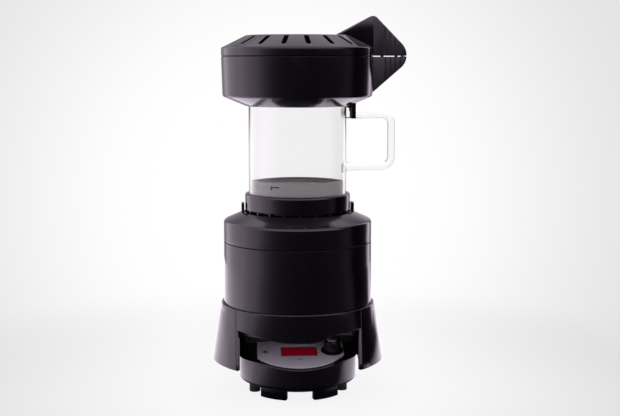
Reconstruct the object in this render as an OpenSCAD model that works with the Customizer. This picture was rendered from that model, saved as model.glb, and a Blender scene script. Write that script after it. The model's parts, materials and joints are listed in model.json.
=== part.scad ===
// Home coffee bean roaster: a fluid bed of hot air in a glass chamber, with a chaff collector on top.
// Millimetres, +Z up, origin on the chamber's axis at the height of the table, front towards -Y.

/* [Shells] */
// Wall thickness of the large moulded shells
shell_wall = 2.5; // [2:0.1:3.2]
// Gap between shells that nest in each other
shell_gap = 0.4; // [0.3:0.05:0.6]
// Depth of the lips that hold stacked shells in line
lip_depth = 4; // [3:0.5:6]
// Height of the dark seam line between two stacked shells
seam = 0.6; // [0.4:0.1:1]

/* [Foot ring] */
// Height of the foot ring under the tub
foot_h = 13; // [11:0.5:16]
// Outer radius of the foot ring
foot_r = 50; // [48.5:0.5:53]
// Radial width of the foot ring's lugs
lug_w = 6; // [5:0.5:7]
// Height of the notches between the lugs
notch_h = 9.4; // [7:0.2:10]
// Where the front lugs begin, in degrees from the front
lug_from = 16.6; // [12:0.2:25]
// Where the front lugs end, in degrees from the front
lug_to = 53; // [40:1:60]
// Where the rear arc begins, in degrees from the front
rear_from = 88; // [88:1:89.5]
// Diameter of the two side feet
side_foot_d = 11.6; // [10:0.2:12]
// Diameter of the two pads in the rear arc
rear_pad_d = 5; // [4:0.2:5.4]

/* [Tub] */
// Outer radius of the tub that carries the controls
tub_r = 62.5; // [61.5:0.5:65]
// Height of the tub, from its floor up to the motor deck
tub_h = 57; // [55:0.5:62]
// Rounding of the tub's lower edge
tub_round = 5; // [2:0.5:6]
// Depth of the control opening's lowest point under the deck
opening_drop = 34; // [32:0.5:38]
// How far the sides of the control opening lie inside the tub's radius
opening_inset = 1.5; // [1.3:0.1:2.9]

/* [Band and skirt] */
// Height from the motor deck's underside to the body seam
deck_to_seam = 25.9; // [22:0.1:30]
// Height of the band under the body seam
band_h = 28.9; // [28.4:0.1:30]
// How far the band stands out from the foot of the body shell
band_step = 0.7; // [0.1:0.1:1.5]
// How far the skirt's top stands out from the band
skirt_step = 1.7; // [1.2:0.1:3]
// How much wider the skirt is at its foot
skirt_flare = 10.5; // [7.5:0.5:14]
// Height of the skirt
skirt_h = 59.9; // [55:0.1:61]
// How far the front edges of the skirt's wings lie inside the tub's radius
wing_inset = 0.5; // [0:0.1:2]

/* [Body] */
// Radius of the body shell at its top
body_r = 77.6; // [76.5:0.1:77.8]
// How much wider the body shell is at its foot
body_draft = 0.5; // [0:0.1:1]
// Height of the body shell
body_h = 64.3; // [60:0.1:80]
// Height of the top cover's straight wall
cover_h = 22.3; // [20:0.1:28]
// Height of the top cover's cone
cover_cone_h = 9; // [6:0.5:12]
// Radius of the top cover's upper rim
neck_r = 57.4; // [56.6:0.1:59]
// Height of the locating posts over the rim
post_h = 9.3; // [6:0.1:12]

/* [Chamber] */
// Outer radius of the glass tube
glass_r = 51; // [50.6:0.1:51.2]
// Thickness of the glass
glass_wall = 2.6; // [2.2:0.1:3]
// Length of glass that shows between the collar and the collector
glass_show = 90.7; // [85:0.1:110]
// Outer radius of the chamber collar
collar_r = 55.1; // [54.4:0.1:55.4]
// Height of the chamber collar
collar_h = 17.3; // [15:0.1:22]
// Height of the vent gap under the collar
vent_gap = 2.4; // [1.5:0.1:4]
// Height of steel that shows over the collar
cup_show = 14; // [10:0.5:20]
// Thickness of the steel cup
cup_wall = 0.8; // [0.6:0.1:1]
// Depth of the perforated floor under the cup's rim
floor_drop = 4.5; // [3:0.5:8]

/* [Glass handle] */
// Radius of the glass rod
rod_r = 4; // [3:0.1:4.4]
// Distance from the axis to the handle's upright
handle_reach = 100.3; // [94:0.1:108]
// Depth of the upper arm under the collector
handle_top = 9.7; // [9:0.1:14]
// Height between the two arms
handle_span = 54.9; // [45:0.1:70]
// Bend radius of the handle's corners
handle_bend = 10; // [8:0.5:14]
// Direction of both handles, in degrees from +X
handle_turn = 6; // [0:1:30]

/* [Collector] */
// Outer radius of the bowl at the seam
bowl_r = 79.1; // [78.5:0.1:82]
// How much narrower the bowl's band is at its foot
bowl_draft = 1.2; // [0.7:0.1:2.1]
// Height of the bowl's band
bowl_h = 41.5; // [38:0.1:55]
// Height of the cone under the bowl
bowl_cone_h = 10.1; // [8:0.1:14]
// Thickness of the bowl and cover
bowl_wall = 2.2; // [1.8:0.1:2.4]
// Depth by which the glass reaches into the bowl
socket_depth = 8; // [6:0.5:10]
// Outer radius of the riser tube
riser_r = 32; // [28:0.5:36]
// Height of the riser tube
riser_h = 24; // [18:0.5:30]

/* [Cover] */
// Height of the cover's rim
rim_h = 8.2; // [7:0.1:10]
// Height of the cover's cone
cone_h = 12.8; // [11:0.1:15]
// Radius of the cover's flat top
top_r = 53; // [50:0.5:54]
// Number of slots around the cone
slot_count = 18; // [18:2:20]
// Width of a slot
slot_w = 4.1; // [3:0.1:5]
// Distance from the axis to a slot's inner end
slot_from = 55; // [54.5:0.5:57]
// Distance from the axis to a slot's outer end
slot_to = 72.5; // [68:0.5:74]

/* [Paddle handle] */
// Thickness of the paddle
paddle_t = 9; // [7:0.5:10]
// Distance from the axis to the paddle's inner end
paddle_root = 39; // [36:0.5:44]
// Slope of the paddle's upper edge, in degrees
paddle_up = 27.3; // [26:0.1:29]
// Slope of the paddle's falling edge, in degrees
paddle_down = 45; // [42:1:48]
// Slope of the paddle's lower edge, in degrees
paddle_low = 40.5; // [38:0.5:43]
// Distance from the axis to the paddle's outer corner
paddle_reach = 115.6; // [108:0.2:122]
// Radius of the outer corner
paddle_round = 17; // [14:0.5:20]
// Gap between the cover's half and the bowl's half
paddle_gap = 1; // [0.6:0.1:1.6]
// Depth of the grip grooves
grip_depth = 0.8; // [0.5:0.1:1.2]
// Width of a grip groove
grip_w = 1.6; // [1:0.1:2.2]
// Spacing of the grip grooves
grip_pitch = 5.3; // [4.5:0.1:5.8]

/* [Controls] */
// Slope of the control panel, in degrees
panel_tilt = 14.5; // [12:0.5:16]
// Height of the panel's front edge over the opening's lowest point
panel_lift = 1; // [0.5:0.1:2]
// Distance from the tub's outside to the panel's front edge
panel_inset = 5.5; // [4.5:0.1:6.5]
// Half width of the panel
panel_half = 47; // [46.8:0.1:48]
// Thickness of the panel plate
panel_t = 1.2; // [1:0.1:1.6]
// Thickness of the tray under the panel
tray_t = 2.2; // [1.8:0.1:2.6]
// Depth of the circuit board's face under the panel's face
board_drop = 10; // [9.6:0.1:11]
// Thickness of the circuit boards
board_t = 1.6; // [1:0.1:2]
// Width of the display window
display_w = 37.6; // [34:0.2:39]
// Height of the display window along the slope
display_h = 19; // [15:0.5:20]
// Distance from the panel's front edge to the display's centre, along the slope
upper_row = 34.5; // [34:0.1:36]
// Distance from the panel's front edge to the start button's centre, along the slope
lower_row = 16.4; // [15:0.1:17]
// Sideways place of the knob
knob_x = 34.8; // [34:0.1:35.2]
// Sideways place of the mode button
mode_x = -35.3; // [-37:0.1:-33]
// Radius of the buttons
key_r = 2.6; // [2:0.1:3]
// Travel of the buttons
key_travel = 0.8; // [0.4:0.1:1]
// Gap around the buttons, the knob and what passes through the panel
key_gap = 0.3; // [0.2:0.05:0.4]
// Outer radius of the knob's skirt
knob_skirt_r = 11.5; // [10:0.1:11.8]
// Radius of the knob's grip
knob_r = 9; // [8:0.1:9.6]
// Radius of the knob's cap
cap_r = 6.25; // [5.5:0.05:7]
// Height of the knob over the panel
knob_h = 15.4; // [14:0.1:18]
// Travel of the knob when it is pressed
knob_travel = 0.5; // [0.3:0.1:0.8]
// Radius of the encoder's shaft
encoder_r = 3; // [2.8:0.05:3.1]

/* [Air and heat] */
// Radius of the motor shaft
shaft_r = 2; // [1.5:0.1:2.4]
// Radius of the motor can
motor_r = 21; // [20.6:0.1:23]
// Height of the motor can
motor_h = 30; // [28:0.5:34]
// Radius of the impeller
impeller_r = 44; // [38:0.5:45.5]
// Height of the impeller
impeller_h = 10; // [8:0.5:11]
// Number of impeller blades
blade_count = 11; // [7:1:13]
// Outer radius of the fan shroud
shroud_r = 50; // [48.5:0.5:52]
// Outer radius of the heater tube
heater_r = 45; // [42:0.1:45.2]
// Radius of the heater winding
coil_r = 35; // [30:0.5:36]
// Number of turns of the heater winding
coil_turns = 6; // [4:1:7]
// Radius of the heater wire
wire_r = 0.9; // [0.6:0.1:1.1]
// Outer radius of the cord bushing's flange
gland_r = 9; // [8.4:0.1:10]
// Radius of the hole in the cord bushing
gland_bore_r = 3.9; // [3:0.1:4.4]

/* [Hidden] */
$fn = 96;

black = "#16151a";
soft_black = "#232227";
steel = "#a9a5a8";
silver = "#77737f";
clear = [0.86, 0.9, 0.92, 0.35];
rubber_grey = "#2b2a2c";
board_green = "#24533a";
copper = "#b0703c";
mica = "#c9b98c";

fit = 0.05;     // radial clearance of running fits
slack = 0.2;    // clearance of parts that are dropped into a seat
rabbet = 0.8;   // depth of the seam lines
eps = 0.01;

// Radii that follow the shells which they meet
band_r = body_r + body_draft + band_step;
skirt_top_r = band_r + skirt_step;
skirt_foot_r = skirt_top_r + skirt_flare;
wing_half = tub_r - wing_inset;
opening_half = tub_r - opening_inset;
panel_r = tub_r - panel_inset;
bowl_low_r = bowl_r - bowl_draft;

// Heights, stacked from the table up
z_tub = foot_h;
z_deck = z_tub + tub_h;
deck_t = 3;
z_seam = z_deck + deck_to_seam;
z_band = z_seam - band_h;
z_skirt = z_seam - skirt_h;
z_cover = z_seam + body_h;
z_shoulder = z_cover + cover_h;
z_neck = z_shoulder + cover_cone_h;
z_collar = z_neck + vent_gap;
z_glass_low = z_collar + 10;
z_collar_top = z_collar + collar_h;
z_cup = z_collar_top + cup_show;
z_bowl = z_collar_top + glass_show;
z_glass_top = z_bowl + socket_depth;
z_bowl_band = z_bowl + bowl_cone_h;
z_split = z_bowl_band + bowl_h;
z_rim = z_split + rim_h;
z_top = z_rim + cone_h;

// Unit vector, and the corner b of the path a-b-c rounded to radius r
function unit(v) = v / norm(v);
function fillet(a, b, c, r, n = 4) =
    let (u = unit(a - b), v = unit(c - b), half = acos(u * v) / 2,
         m = b + unit(u + v) * r / sin(half),
         p = b + u * r / tan(half) - m, q = b + v * r / tan(half) - m,
         p_turn = atan2(p.y, p.x), turn = atan2(q.y, q.x) - p_turn,
         short = turn > 180 ? turn - 360 : turn < -180 ? turn + 360 : turn)
    [for (i = [0:n]) let (w = p_turn + short * i / n) m + r * [cos(w), sin(w)]];

// Outline from corners [x, y, rounding]
function outline(p) =
    let (n = len(p), at = function(i) [p[i].x, p[i].y])
    [for (i = [0:n - 1]) each p[i][2] == 0 ? [at(i)]
        : fillet(at((i + n - 1) % n), at(i), at((i + 1) % n), p[i][2])];

module turned(corners) { rotate_extrude() polygon(outline(corners)); }
module ring(r_out, r_in, z0, z1) {
    turned([[r_in, z0, 0], [r_out, z0, 0], [r_out, z1, 0], [r_in, z1, 0]]);
}
module rod(r, z0, z1) { translate([0, 0, z0]) cylinder(r = r, h = z1 - z0); }

// Directions are counted from the front, positive towards +X
module from_front(turn) { rotate([0, 0, turn - 90]) children(); }
module sector(r, from, to, z0, z1) {
    steps = ceil((to - from) / 15);
    translate([0, 0, z0]) linear_extrude(z1 - z0) rotate([0, 0, -90])
        polygon([[0, 0], for (i = [0:steps]) let (w = from + (to - from) * i / steps)
            r / cos(7.5) * [cos(w), sin(w)]]);
}

/* ---------- Cover ---------- */
lip_r = bowl_r - bowl_wall - shell_gap;
lip_in_r = lip_r - 2;
screen_t = 0.8;
screen_z = z_split - lip_depth + 1.2;

// Paddle outline: a rising edge, a rounded tip, a falling edge, a round corner and a lower edge
paddle_mid = [paddle_reach - paddle_round, z_split + 0.5];
paddle_fall = paddle_mid + paddle_round * [cos(paddle_down), sin(paddle_down)];
paddle_tip_r = (paddle_fall.y + paddle_fall.x * tan(paddle_down) - z_top
    + paddle_root * tan(paddle_up)) / (tan(paddle_up) + tan(paddle_down));
paddle_tip = [paddle_tip_r, z_top + (paddle_tip_r - paddle_root) * tan(paddle_up)];
paddle_under = paddle_mid + paddle_round * [sin(paddle_low), -cos(paddle_low)];
wall_mid = bowl_wall / 2;
under_at_bowl = [bowl_low_r - wall_mid,
    paddle_under.y - (paddle_under.x - bowl_low_r + wall_mid) * tan(paddle_low)];
split_low = z_split - paddle_gap;

function corner_arc(from, to, n = 8) = [for (i = [0:n]) let (w = from + (to - from) * i / n)
    paddle_mid + paddle_round * [cos(w), sin(w)]];
paddle_outline = concat([[paddle_root, z_top]],
    fillet([paddle_root, z_top], paddle_tip, paddle_fall, 6),
    corner_arc(paddle_down, paddle_low - 90), [under_at_bowl, [bowl_low_r - wall_mid, z_split],
    [bowl_r - wall_mid, z_rim], [top_r, z_top - wall_mid], [paddle_root, z_top - wall_mid]]);

module paddle(from_z, to_z) {
    rotate([0, 0, handle_turn]) intersection() {
        rotate([90, 0, 0]) linear_extrude(paddle_t, center = true) polygon(paddle_outline);
        translate([0, -paddle_t, from_z]) cube([2 * paddle_reach, 2 * paddle_t, to_z - from_z]);
    }
}
module grip_grooves() {
    rotate([0, 0, handle_turn]) for (i = [0:3]) for (side = [-1, 1])
        translate([paddle_mid.x - 6.1 + i * grip_pitch, side * paddle_t / 2, z_split])
            cube([grip_w, 2 * grip_depth, 2 * (paddle_tip.y - z_bowl)], center = true);
}
module slots() {
    for (i = [0:slot_count - 1]) rotate([0, 0, handle_turn + (i + 0.5) * 360 / slot_count])
        translate([0, 0, z_split + 2]) linear_extrude(z_top - z_split) {
            translate([slot_from + slot_w / 2, -slot_w / 2])
                square([slot_to - slot_from - slot_w, slot_w]);
            for (x = [slot_from, slot_to - slot_w]) translate([x + slot_w / 2, 0]) circle(d = slot_w);
        }
}
module lid_cover() color(black) difference() {
    union() {
        turned([[0, z_top, 0], [top_r, z_top, 3], [bowl_r, z_rim, 3], [bowl_r, z_split, 0],
            [lip_r, z_split, 0], [lip_r, z_split - lip_depth, 0], [lip_in_r, z_split - lip_depth, 0],
            [lip_in_r, z_rim - bowl_wall, 1],
            [top_r - 0.5, z_top - bowl_wall, 2], [0, z_top - bowl_wall, 0]]);
        paddle(z_split, paddle_tip.y + 1);
        // Two tabs that bridge the gap to the bowl's half
        rotate([0, 0, handle_turn]) for (r = [89.8, 104.9])
            translate([r - 1.5, -1.5, split_low]) cube([3, 3, paddle_gap + 1]);
    }
    slots();
    grip_grooves();
}

module perforated(r_out, z0, t, hole_r, pitch, r_first, r_last) {
    difference() {
        rod(r_out, z0, z0 + t);
        for (r = [r_first:pitch:r_last]) let (n = floor(2 * PI * r / pitch))
            for (i = [0:n - 1]) rotate([0, 0, 360 * i / n]) translate([r, 0, z0 - 1])
                cylinder(r = hole_r, h = t + 2, $fn = 24);
    }
}
module chaff_screen() color(steel)
    perforated(lip_in_r - slack, screen_z, screen_t, 2.8, 9, 9, lip_in_r - 8);
module screen_ring() color(soft_black)
    ring(lip_in_r - slack, lip_in_r - 2.4, z_split - lip_depth, screen_z);

/* ---------- Collector ---------- */
socket_r = glass_r + shell_gap;
socket_out = socket_r + 2;
seal_t = 2;
z_ledge = z_glass_top + seal_t;
ledge_top = z_ledge + bowl_wall;
neck_bore = riser_r - 2;
fork_from = socket_r + 0.5;
fork_to = socket_r + 9.6;
fork_gap = 0.6;
flare = 2.6;    // how much wider the glass rod is where it is fused to the tube
flare_l = 4;    // how far the flare reaches along the rod

module collector_bowl() color(black) difference() {
    union() {
        turned([[socket_r, z_bowl, 0.8], [socket_out + 0.6, z_bowl, 1], [bowl_low_r, z_bowl_band, 3],
            [bowl_r, z_split - seam, 0], [bowl_r - rabbet, z_split - seam, 0], [bowl_r - rabbet, z_split, 0],
            [bowl_r - bowl_wall, z_split, 0],
            [bowl_low_r - bowl_wall, z_bowl_band + bowl_wall, 3],
            [socket_out, z_bowl + 1.5 * bowl_wall, 0], [socket_out, ledge_top, 0],
            [neck_bore, ledge_top, 0], [neck_bore, z_ledge, 0], [socket_r, z_ledge, 0]]);
        paddle(z_bowl_band, split_low);
        // Fork that hangs over the glass handle's upper arm, clear of the flare at its root
        rotate([0, 0, handle_turn]) translate([fork_from, 0, z_bowl - handle_top]) {
            for (side = [-1, 1]) translate([flare_l, side * (rod_r + fork_gap + 1) - 1, -rod_r])
                cube([fork_to - fork_from - flare_l, 2, handle_top + rod_r + 3]);
            translate([0, -rod_r - fork_gap - 2, rod_r + flare + fork_gap])
                cube([fork_to - fork_from, 2 * (rod_r + fork_gap + 2), handle_top - rod_r - flare + 2]);
        }
    }
    rod(socket_r, z_bowl - 30, z_ledge);
    grip_grooves();
}
module riser_tube() color(soft_black)
    turned([[neck_bore, ledge_top + screen_t, 0], [riser_r + 10, ledge_top + screen_t, 0],
        [riser_r + 10, ledge_top + screen_t + 2, 0], [riser_r, ledge_top + screen_t + 2, 1],
        [riser_r, ledge_top + riser_h, 0], [neck_bore, ledge_top + riser_h, 0]]);
module bean_guard() color(steel)
    perforated(riser_r + 6, ledge_top, screen_t, 2, 6.5, 6.5, neck_bore - 3);
module collector_seal() color(rubber_grey)
    ring(socket_r - slack, glass_r - glass_wall - 1, z_glass_top, z_ledge);

/* ---------- Chamber ---------- */
glass_in = glass_r - glass_wall;
spigot_r = glass_r - 1.4;
spigot_in = spigot_r - 5.2;
spigot_drop = 9.4;
cup_r = glass_in - shell_gap;

module handle_arm(z, up) {
    bend_x = handle_reach - handle_bend;
    translate([glass_in + 0.6, 0, z]) rotate([0, 90, 0])
        cylinder(r = rod_r, h = bend_x - glass_in - 0.6, $fn = 32);
    // Flare where the rod is fused to the tube
    translate([glass_in + 0.6, 0, z]) rotate([0, 90, 0])
        cylinder(r1 = rod_r + flare, r2 = rod_r, h = glass_wall + flare_l, $fn = 32);
    translate([bend_x, 0, z + up * handle_bend]) rotate([90, 0, 0]) rotate([0, 0, up > 0 ? -90 : 0])
        rotate_extrude(angle = 90) translate([handle_bend, 0]) circle(r = rod_r, $fn = 32);
}
module glass_chamber() color(clear) difference() {
    z_high = z_bowl - handle_top;
    union() {
        ring(glass_r, glass_in, z_glass_low, z_glass_top);
        rotate([0, 0, handle_turn]) {
            handle_arm(z_high, -1);
            handle_arm(z_high - handle_span, 1);
            translate([handle_reach, 0, z_high - handle_span + handle_bend])
                cylinder(r = rod_r, h = handle_span - 2 * handle_bend, $fn = 32);
        }
    }
    rod(glass_in, z_glass_low - 1, z_glass_top + 1);
}
module steel_cup() color(steel) difference() {
    lip = 0.9;
    turned([[cup_r - 3.5, z_glass_low - seal_t, 0], [cup_r, z_glass_low - seal_t, 0], [cup_r, z_cup, 0.5],
        [cup_r - 2 * lip, z_cup, 0.5], [cup_r - 2 * lip, z_cup - 1.2, 0], [cup_r - cup_wall, z_cup - 2, 0],
        [cup_r - cup_wall, z_glass_low - seal_t + cup_wall, 0],
        [cup_r - 3.5, z_glass_low - seal_t + cup_wall, 0]]);
    // L-shaped latch slot
    from_front(-30) translate([cup_r - 4, 0, z_cup - 8.6]) {
        cube([8, 8, 2.4]);
        translate([0, -1.6, -2.4]) cube([8, 1.7, 4.8]);
    }
}
module air_plate() color(steel)
    perforated(cup_r - cup_wall - fit, z_cup - floor_drop, cup_wall, 1.6, 6, 6, cup_r - 6);
module chamber_seal() color(rubber_grey)
    ring(glass_r, cup_r + slack, z_glass_low - seal_t, z_glass_low);
module chamber_collar() color(black)
    turned([[spigot_in, z_collar - spigot_drop, 0], [spigot_r, z_collar - spigot_drop, 1],
        [spigot_r, z_collar, 0], [collar_r, z_collar, 0.8], [collar_r, z_collar_top, 2.4],
        [socket_r, z_collar_top, 1], [socket_r, z_glass_low - seal_t, 0],
        [spigot_in, z_glass_low - seal_t, 0]]);

/* ---------- Body ---------- */
recess_r = spigot_r + 0.5;
recess_out = recess_r + 2.2;
z_gutter = z_shoulder + 4;
z_shelf = z_collar - spigot_drop - 0.3 - seal_t - 0.8;
shelf_t = 2.5;
rib_h = z_collar - z_gutter;
rib_pitch = 17.5;
nest_r = body_r - shell_wall - shell_gap;
body_low_r = body_r + body_draft;
nest_low_r = nest_r + body_draft;
tie_r = 2;
tie_at = nest_r - 8.5;
tie_turns = [60, 120, 240, 300];
column_r = tie_r + 2.4;
post_t = 3.1;

module top_cover() color(black) difference() {
    union() {
        turned([[body_r - rabbet, z_cover, 0], [body_r - rabbet, z_cover + seam, 0],
            [body_r, z_cover + seam, 0], [body_r, z_shoulder, 3.5], [neck_r, z_neck, 1.2],
            [neck_r - 1.6, z_neck, 0.5], [neck_r - 1.6, z_gutter, 0], [recess_r, z_gutter, 0],
            [recess_r, z_shelf, 0], [heater_r + slack, z_shelf, 0], [heater_r + slack, z_shelf - shelf_t, 0],
            [recess_out, z_shelf - shelf_t, 0], [recess_out, z_gutter - shell_wall, 0],
            [neck_r - 1.6, z_gutter - shell_wall, 0], [body_r - shell_wall, z_shoulder - shell_wall, 2],
            [body_r - shell_wall, z_cover + 5, 0], [nest_r - 2, z_cover + 4, 0],
            [nest_r - 2, z_cover - lip_depth, 0], [nest_r, z_cover - lip_depth, 0], [nest_r, z_cover, 0]]);
        // Ribs in the vent gap, which carry the collar
        for (i = [-9:9]) if (abs(i * rib_pitch) < 170) from_front(i * rib_pitch)
            translate([recess_r + 0.6, -1.2, z_gutter - 1]) cube([3, 2.4, rib_h + 1]);
        for (side = [90, -90]) from_front(side)
            translate([collar_r + 0.9, -6, z_neck - 4]) cube([post_t, 12, post_h + 4]);
        for (turn = tie_turns) from_front(turn) translate([tie_at, 0, 0])
            rod(column_r, z_cover + eps, z_gutter - shell_wall);
    }
    for (turn = tie_turns) from_front(turn) translate([tie_at, 0, 0])
        rod(tie_r + fit, z_cover - 1, z_cover + 14);
}
module main_shell() color(black) difference() {
    union() {
        turned([[body_low_r - rabbet, z_seam, 0], [body_low_r - rabbet, z_seam + seam, 0],
            [body_low_r, z_seam + seam, 0], [body_r, z_cover, 0], [body_r - shell_wall, z_cover, 0],
            [body_low_r - shell_wall, z_seam, 0]]);
        for (turn = tie_turns) from_front(turn) {
            translate([tie_at, 0, 0]) rod(column_r, z_seam, z_cover);
            translate([tie_at + tie_r + 1, -1, z_seam + lip_depth + 1])
                cube([body_r - shell_wall / 2 - tie_at - tie_r - 1, 2, body_h - 2 * lip_depth - 2]);
        }
    }
    for (turn = tie_turns) from_front(turn) translate([tie_at, 0, 0])
        rod(tie_r + 0.3, z_seam - 1, z_cover + 1);
}

flange_t = 3;
function wing_r(z) = skirt_top_r + (skirt_foot_r - skirt_top_r) * (z_seam - z) / skirt_h;
module wing_solid(inset, z0, z1) {
    rotate_extrude() polygon([[0, z0], [wing_r(z0) - inset, z0], [wing_r(z1) - inset, z1], [0, z1]]);
}
module front_block(half, z0, z1) {
    translate([-half, -2 * skirt_foot_r, z0]) cube([2 * half, 2 * skirt_foot_r, z1 - z0]);
}
module base_skirt() color(black) difference() {
    union() {
        // Band with the lip that centres the body shell
        turned([[band_r, z_band, 1], [band_r, z_seam, 0.8], [nest_low_r, z_seam, 0],
            [nest_low_r, z_seam + lip_depth, 0], [nest_low_r - 2, z_seam + lip_depth, 0],
            [nest_low_r - 2, z_seam - 3, 0], [band_r - shell_wall, z_seam - 5, 0],
            [band_r - shell_wall, z_deck, 0], [tub_r + shell_gap, z_deck, 0],
            [tub_r + shell_gap, z_deck - flange_t, 0], [band_r - shell_wall, z_deck - flange_t, 0],
            [band_r - shell_wall, z_band, 0]]);
        difference() {
            union() {
                difference() {
                    wing_solid(0, z_skirt, z_seam);
                    wing_solid(shell_wall, z_skirt - 1, z_seam + 1);
                    front_block(wing_half, z_skirt - 1, z_seam + 1);
                }
                // Floor web and the cheeks that close the wings at the front
                difference() {
                    wing_solid(1, z_skirt + 1, z_skirt + 3.5);
                    front_block(wing_half, z_skirt, z_skirt + 5);
                }
                intersection() {
                    wing_solid(1, z_skirt + 1, z_band + 1);
                    for (side = [-1, 1]) translate([side * (wing_half + shell_wall / 2), -40, 0])
                        cube([shell_wall, 68, 2 * z_seam], center = true);
                }
            }
            rod(tub_r + shell_gap, z_skirt - 1, z_deck + 1);
        }
        // Flat boss for the cord bushing
        intersection() {
            translate([0, 0, gland_z]) rotate([-90, 0, 0]) rod(gland_r + 2, tub_r + 12, gland_face);
            wing_solid(-3, z_skirt, z_band);
        }
    }
    translate([0, 0, gland_z]) rotate([-90, 0, 0]) rod(gland_body_r + slack, tub_r + 5, gland_face + 10);
    for (turn = tie_turns) from_front(turn) translate([tie_at, 0, 0])
        rod(tie_r + 0.3, z_deck - 9, z_deck + 1);
}

/* ---------- Cord bushing at the back ---------- */
gland_z = z_skirt + 16;
gland_face = wing_r(gland_z - gland_r) + 0.2;
gland_body_r = gland_r - 2.4;
gland_l = 16;
module cord_gland() color(rubber_grey) translate([0, 0, gland_z]) rotate([-90, 0, 0]) difference() {
    union() {
        rod(gland_r, gland_face, gland_face + 2.5);
        rod(gland_body_r, gland_face + 2.5 - gland_l, gland_face + 1);
    }
    rod(gland_bore_r, gland_face - gland_l, gland_face + 5);
}

/* ---------- Tub, foot ring and feet ---------- */
intake_r = foot_r - lug_w - 0.6;
boss_turns = [105, 145, 215, 255];
boss_at = tub_r - shell_wall - 5.5;
case_r = 1.75;
board_y = tub_r - shell_wall - 24;
// The power board stops short of the tub's wall
board_half = sqrt(pow(tub_r - shell_wall, 2) - pow(board_y, 2)) - 10;
opening_z = z_deck - opening_drop;
// Corners of the sill: its middle, where it turns up, and where its sides begin
sill = [[0, -0.4], [opening_half - 15, 4.9], [opening_half, 13]];

module tub() color(black) difference() {
    union() {
        turned([[intake_r, z_tub, 0], [tub_r, z_tub, tub_round], [tub_r, z_deck, 0],
            [tub_r - shell_wall, z_deck, 0], [tub_r - shell_wall, z_tub + shell_wall, 3],
            [intake_r, z_tub + shell_wall, 0]]);
        for (turn = boss_turns) from_front(turn) translate([boss_at, 0, 0]) rod(4.5, z_tub + 1, z_deck);
        // Two slotted rails that hold the power board
        for (side = [-1, 1]) difference() {
            translate([side * (board_half + 0.5) - 2.5, board_y - 2.5, z_tub + 1]) cube([5, 6.6, 30]);
            translate([side * (board_half - 2.3) - 2.9, board_y - slack, z_tub + shell_wall])
                cube([5.8, board_t + 2 * slack, 40]);
        }
    }
    // Control opening: a shallow bowed sill that turns up into the sides
    translate([0, -tub_r / 8, 0]) rotate([90, 0, 0]) linear_extrude(tub_r)
        polygon(outline([[-sill[2].x, z_deck + 1, 0], [-sill[2].x, opening_z + sill[2].y, 9],
            [-sill[1].x, opening_z + sill[1].y, 22], [0, opening_z + sill[0].y, 150],
            [sill[1].x, opening_z + sill[1].y, 22], [sill[2].x, opening_z + sill[2].y, 9],
            [sill[2].x, z_deck + 1, 0]]));
    for (turn = boss_turns) from_front(turn) translate([boss_at, 0, 0]) {
        rod(case_r + 0.3, z_tub - 1, z_deck + 1);
        rod(2 * case_r + 0.4, z_tub - 1, z_tub + 3);
    }
}
module foot_ring() color(black) difference() {
    union() {
        ring(foot_r, foot_r - lug_w, notch_h, foot_h);
        ring(intake_r - shell_gap, intake_r - shell_gap - 2.4, notch_h, foot_h + 3);
        ring(foot_r - 1, intake_r - shell_gap - 1, notch_h, foot_h);
        ring(intake_r - shell_gap - 2, intake_r - shell_gap - 4.5, notch_h, notch_h + 1.6);
        intersection() {
            ring(foot_r, foot_r - lug_w, 0, foot_h);
            for (side = [-1, 1]) sector(2 * foot_r, min(side * lug_from, side * lug_to),
                max(side * lug_from, side * lug_to), 0, foot_h);
        }
        intersection() {
            ring(foot_r + 1, foot_r - lug_w - 1, 0, foot_h);
            sector(2 * foot_r, rear_from, 360 - rear_from, 0, foot_h);
        }
    }
    for (side = [-1, 1]) from_front(side * side_foot_turn)
        translate([foot_mid, 0, 0]) rod(side_foot_d / 2 + slack, -1, foot_h + 1);
    for (turn = pad_turns) from_front(turn) translate([foot_mid, 0, 0]) rod(rear_pad_d / 2 + slack, -1, 4);
}
foot_mid = foot_r - lug_w / 2;
// The side feet stand just in front of the rear arc
side_foot_turn = rear_from - 2 - asin(side_foot_d / 2 / foot_mid);
pad_turns = [145, 215];
module rubber_feet() color(rubber_grey) {
    for (side = [-1, 1]) from_front(side * side_foot_turn) translate([foot_mid, 0, 0])
        rod(side_foot_d / 2, 0, foot_h);
    for (turn = pad_turns) from_front(turn) translate([foot_mid, 0, 0]) rod(rear_pad_d / 2, 0, 4);
}
module intake_grille() color(soft_black) {
    r_out = intake_r - shell_gap - 2.6;
    z0 = notch_h + 1.6;
    for (i = [0:5]) ring(r_out - i * 6.6, r_out - i * 6.6 - 2.2, z0, z0 + 2);
    intersection() {
        rod(r_out - 0.5, z0, z0 + 2);
        for (i = [0:2]) rotate([0, 0, 60 * i]) translate([-r_out, -1.2, z0]) cube([2 * r_out, 2.4, 2]);
    }
}
module tie_rods() color(steel) for (turn = tie_turns) from_front(turn) translate([tie_at, 0, 0]) {
    rod(tie_r, z_deck - flange_t - 1, z_cover + 12);
    rod(1.7 * tie_r, z_deck - flange_t - 3, z_deck - flange_t);
}
module case_screws() color(steel) for (turn = boss_turns) from_front(turn) translate([boss_at, 0, 0]) {
    rod(case_r, z_tub + 2, z_deck + deck_t);
    rod(2 * case_r, z_tub + 1, z_tub + 3);
}

/* ---------- Controls ---------- */
tray_r = tub_r - shell_wall - shell_gap;
tray_low = panel_t + tray_t;
panel_z = opening_z + panel_lift;
stand_places = [[-36, 22], [36, 20], [-40, 51], [40, 51]];
screw_r = 1.2;
board_from = 8;
board_to = panel_r - 2;
ribbon_v = board_to - 9;
plug_l = 6;
plug_h = 3;

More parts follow.
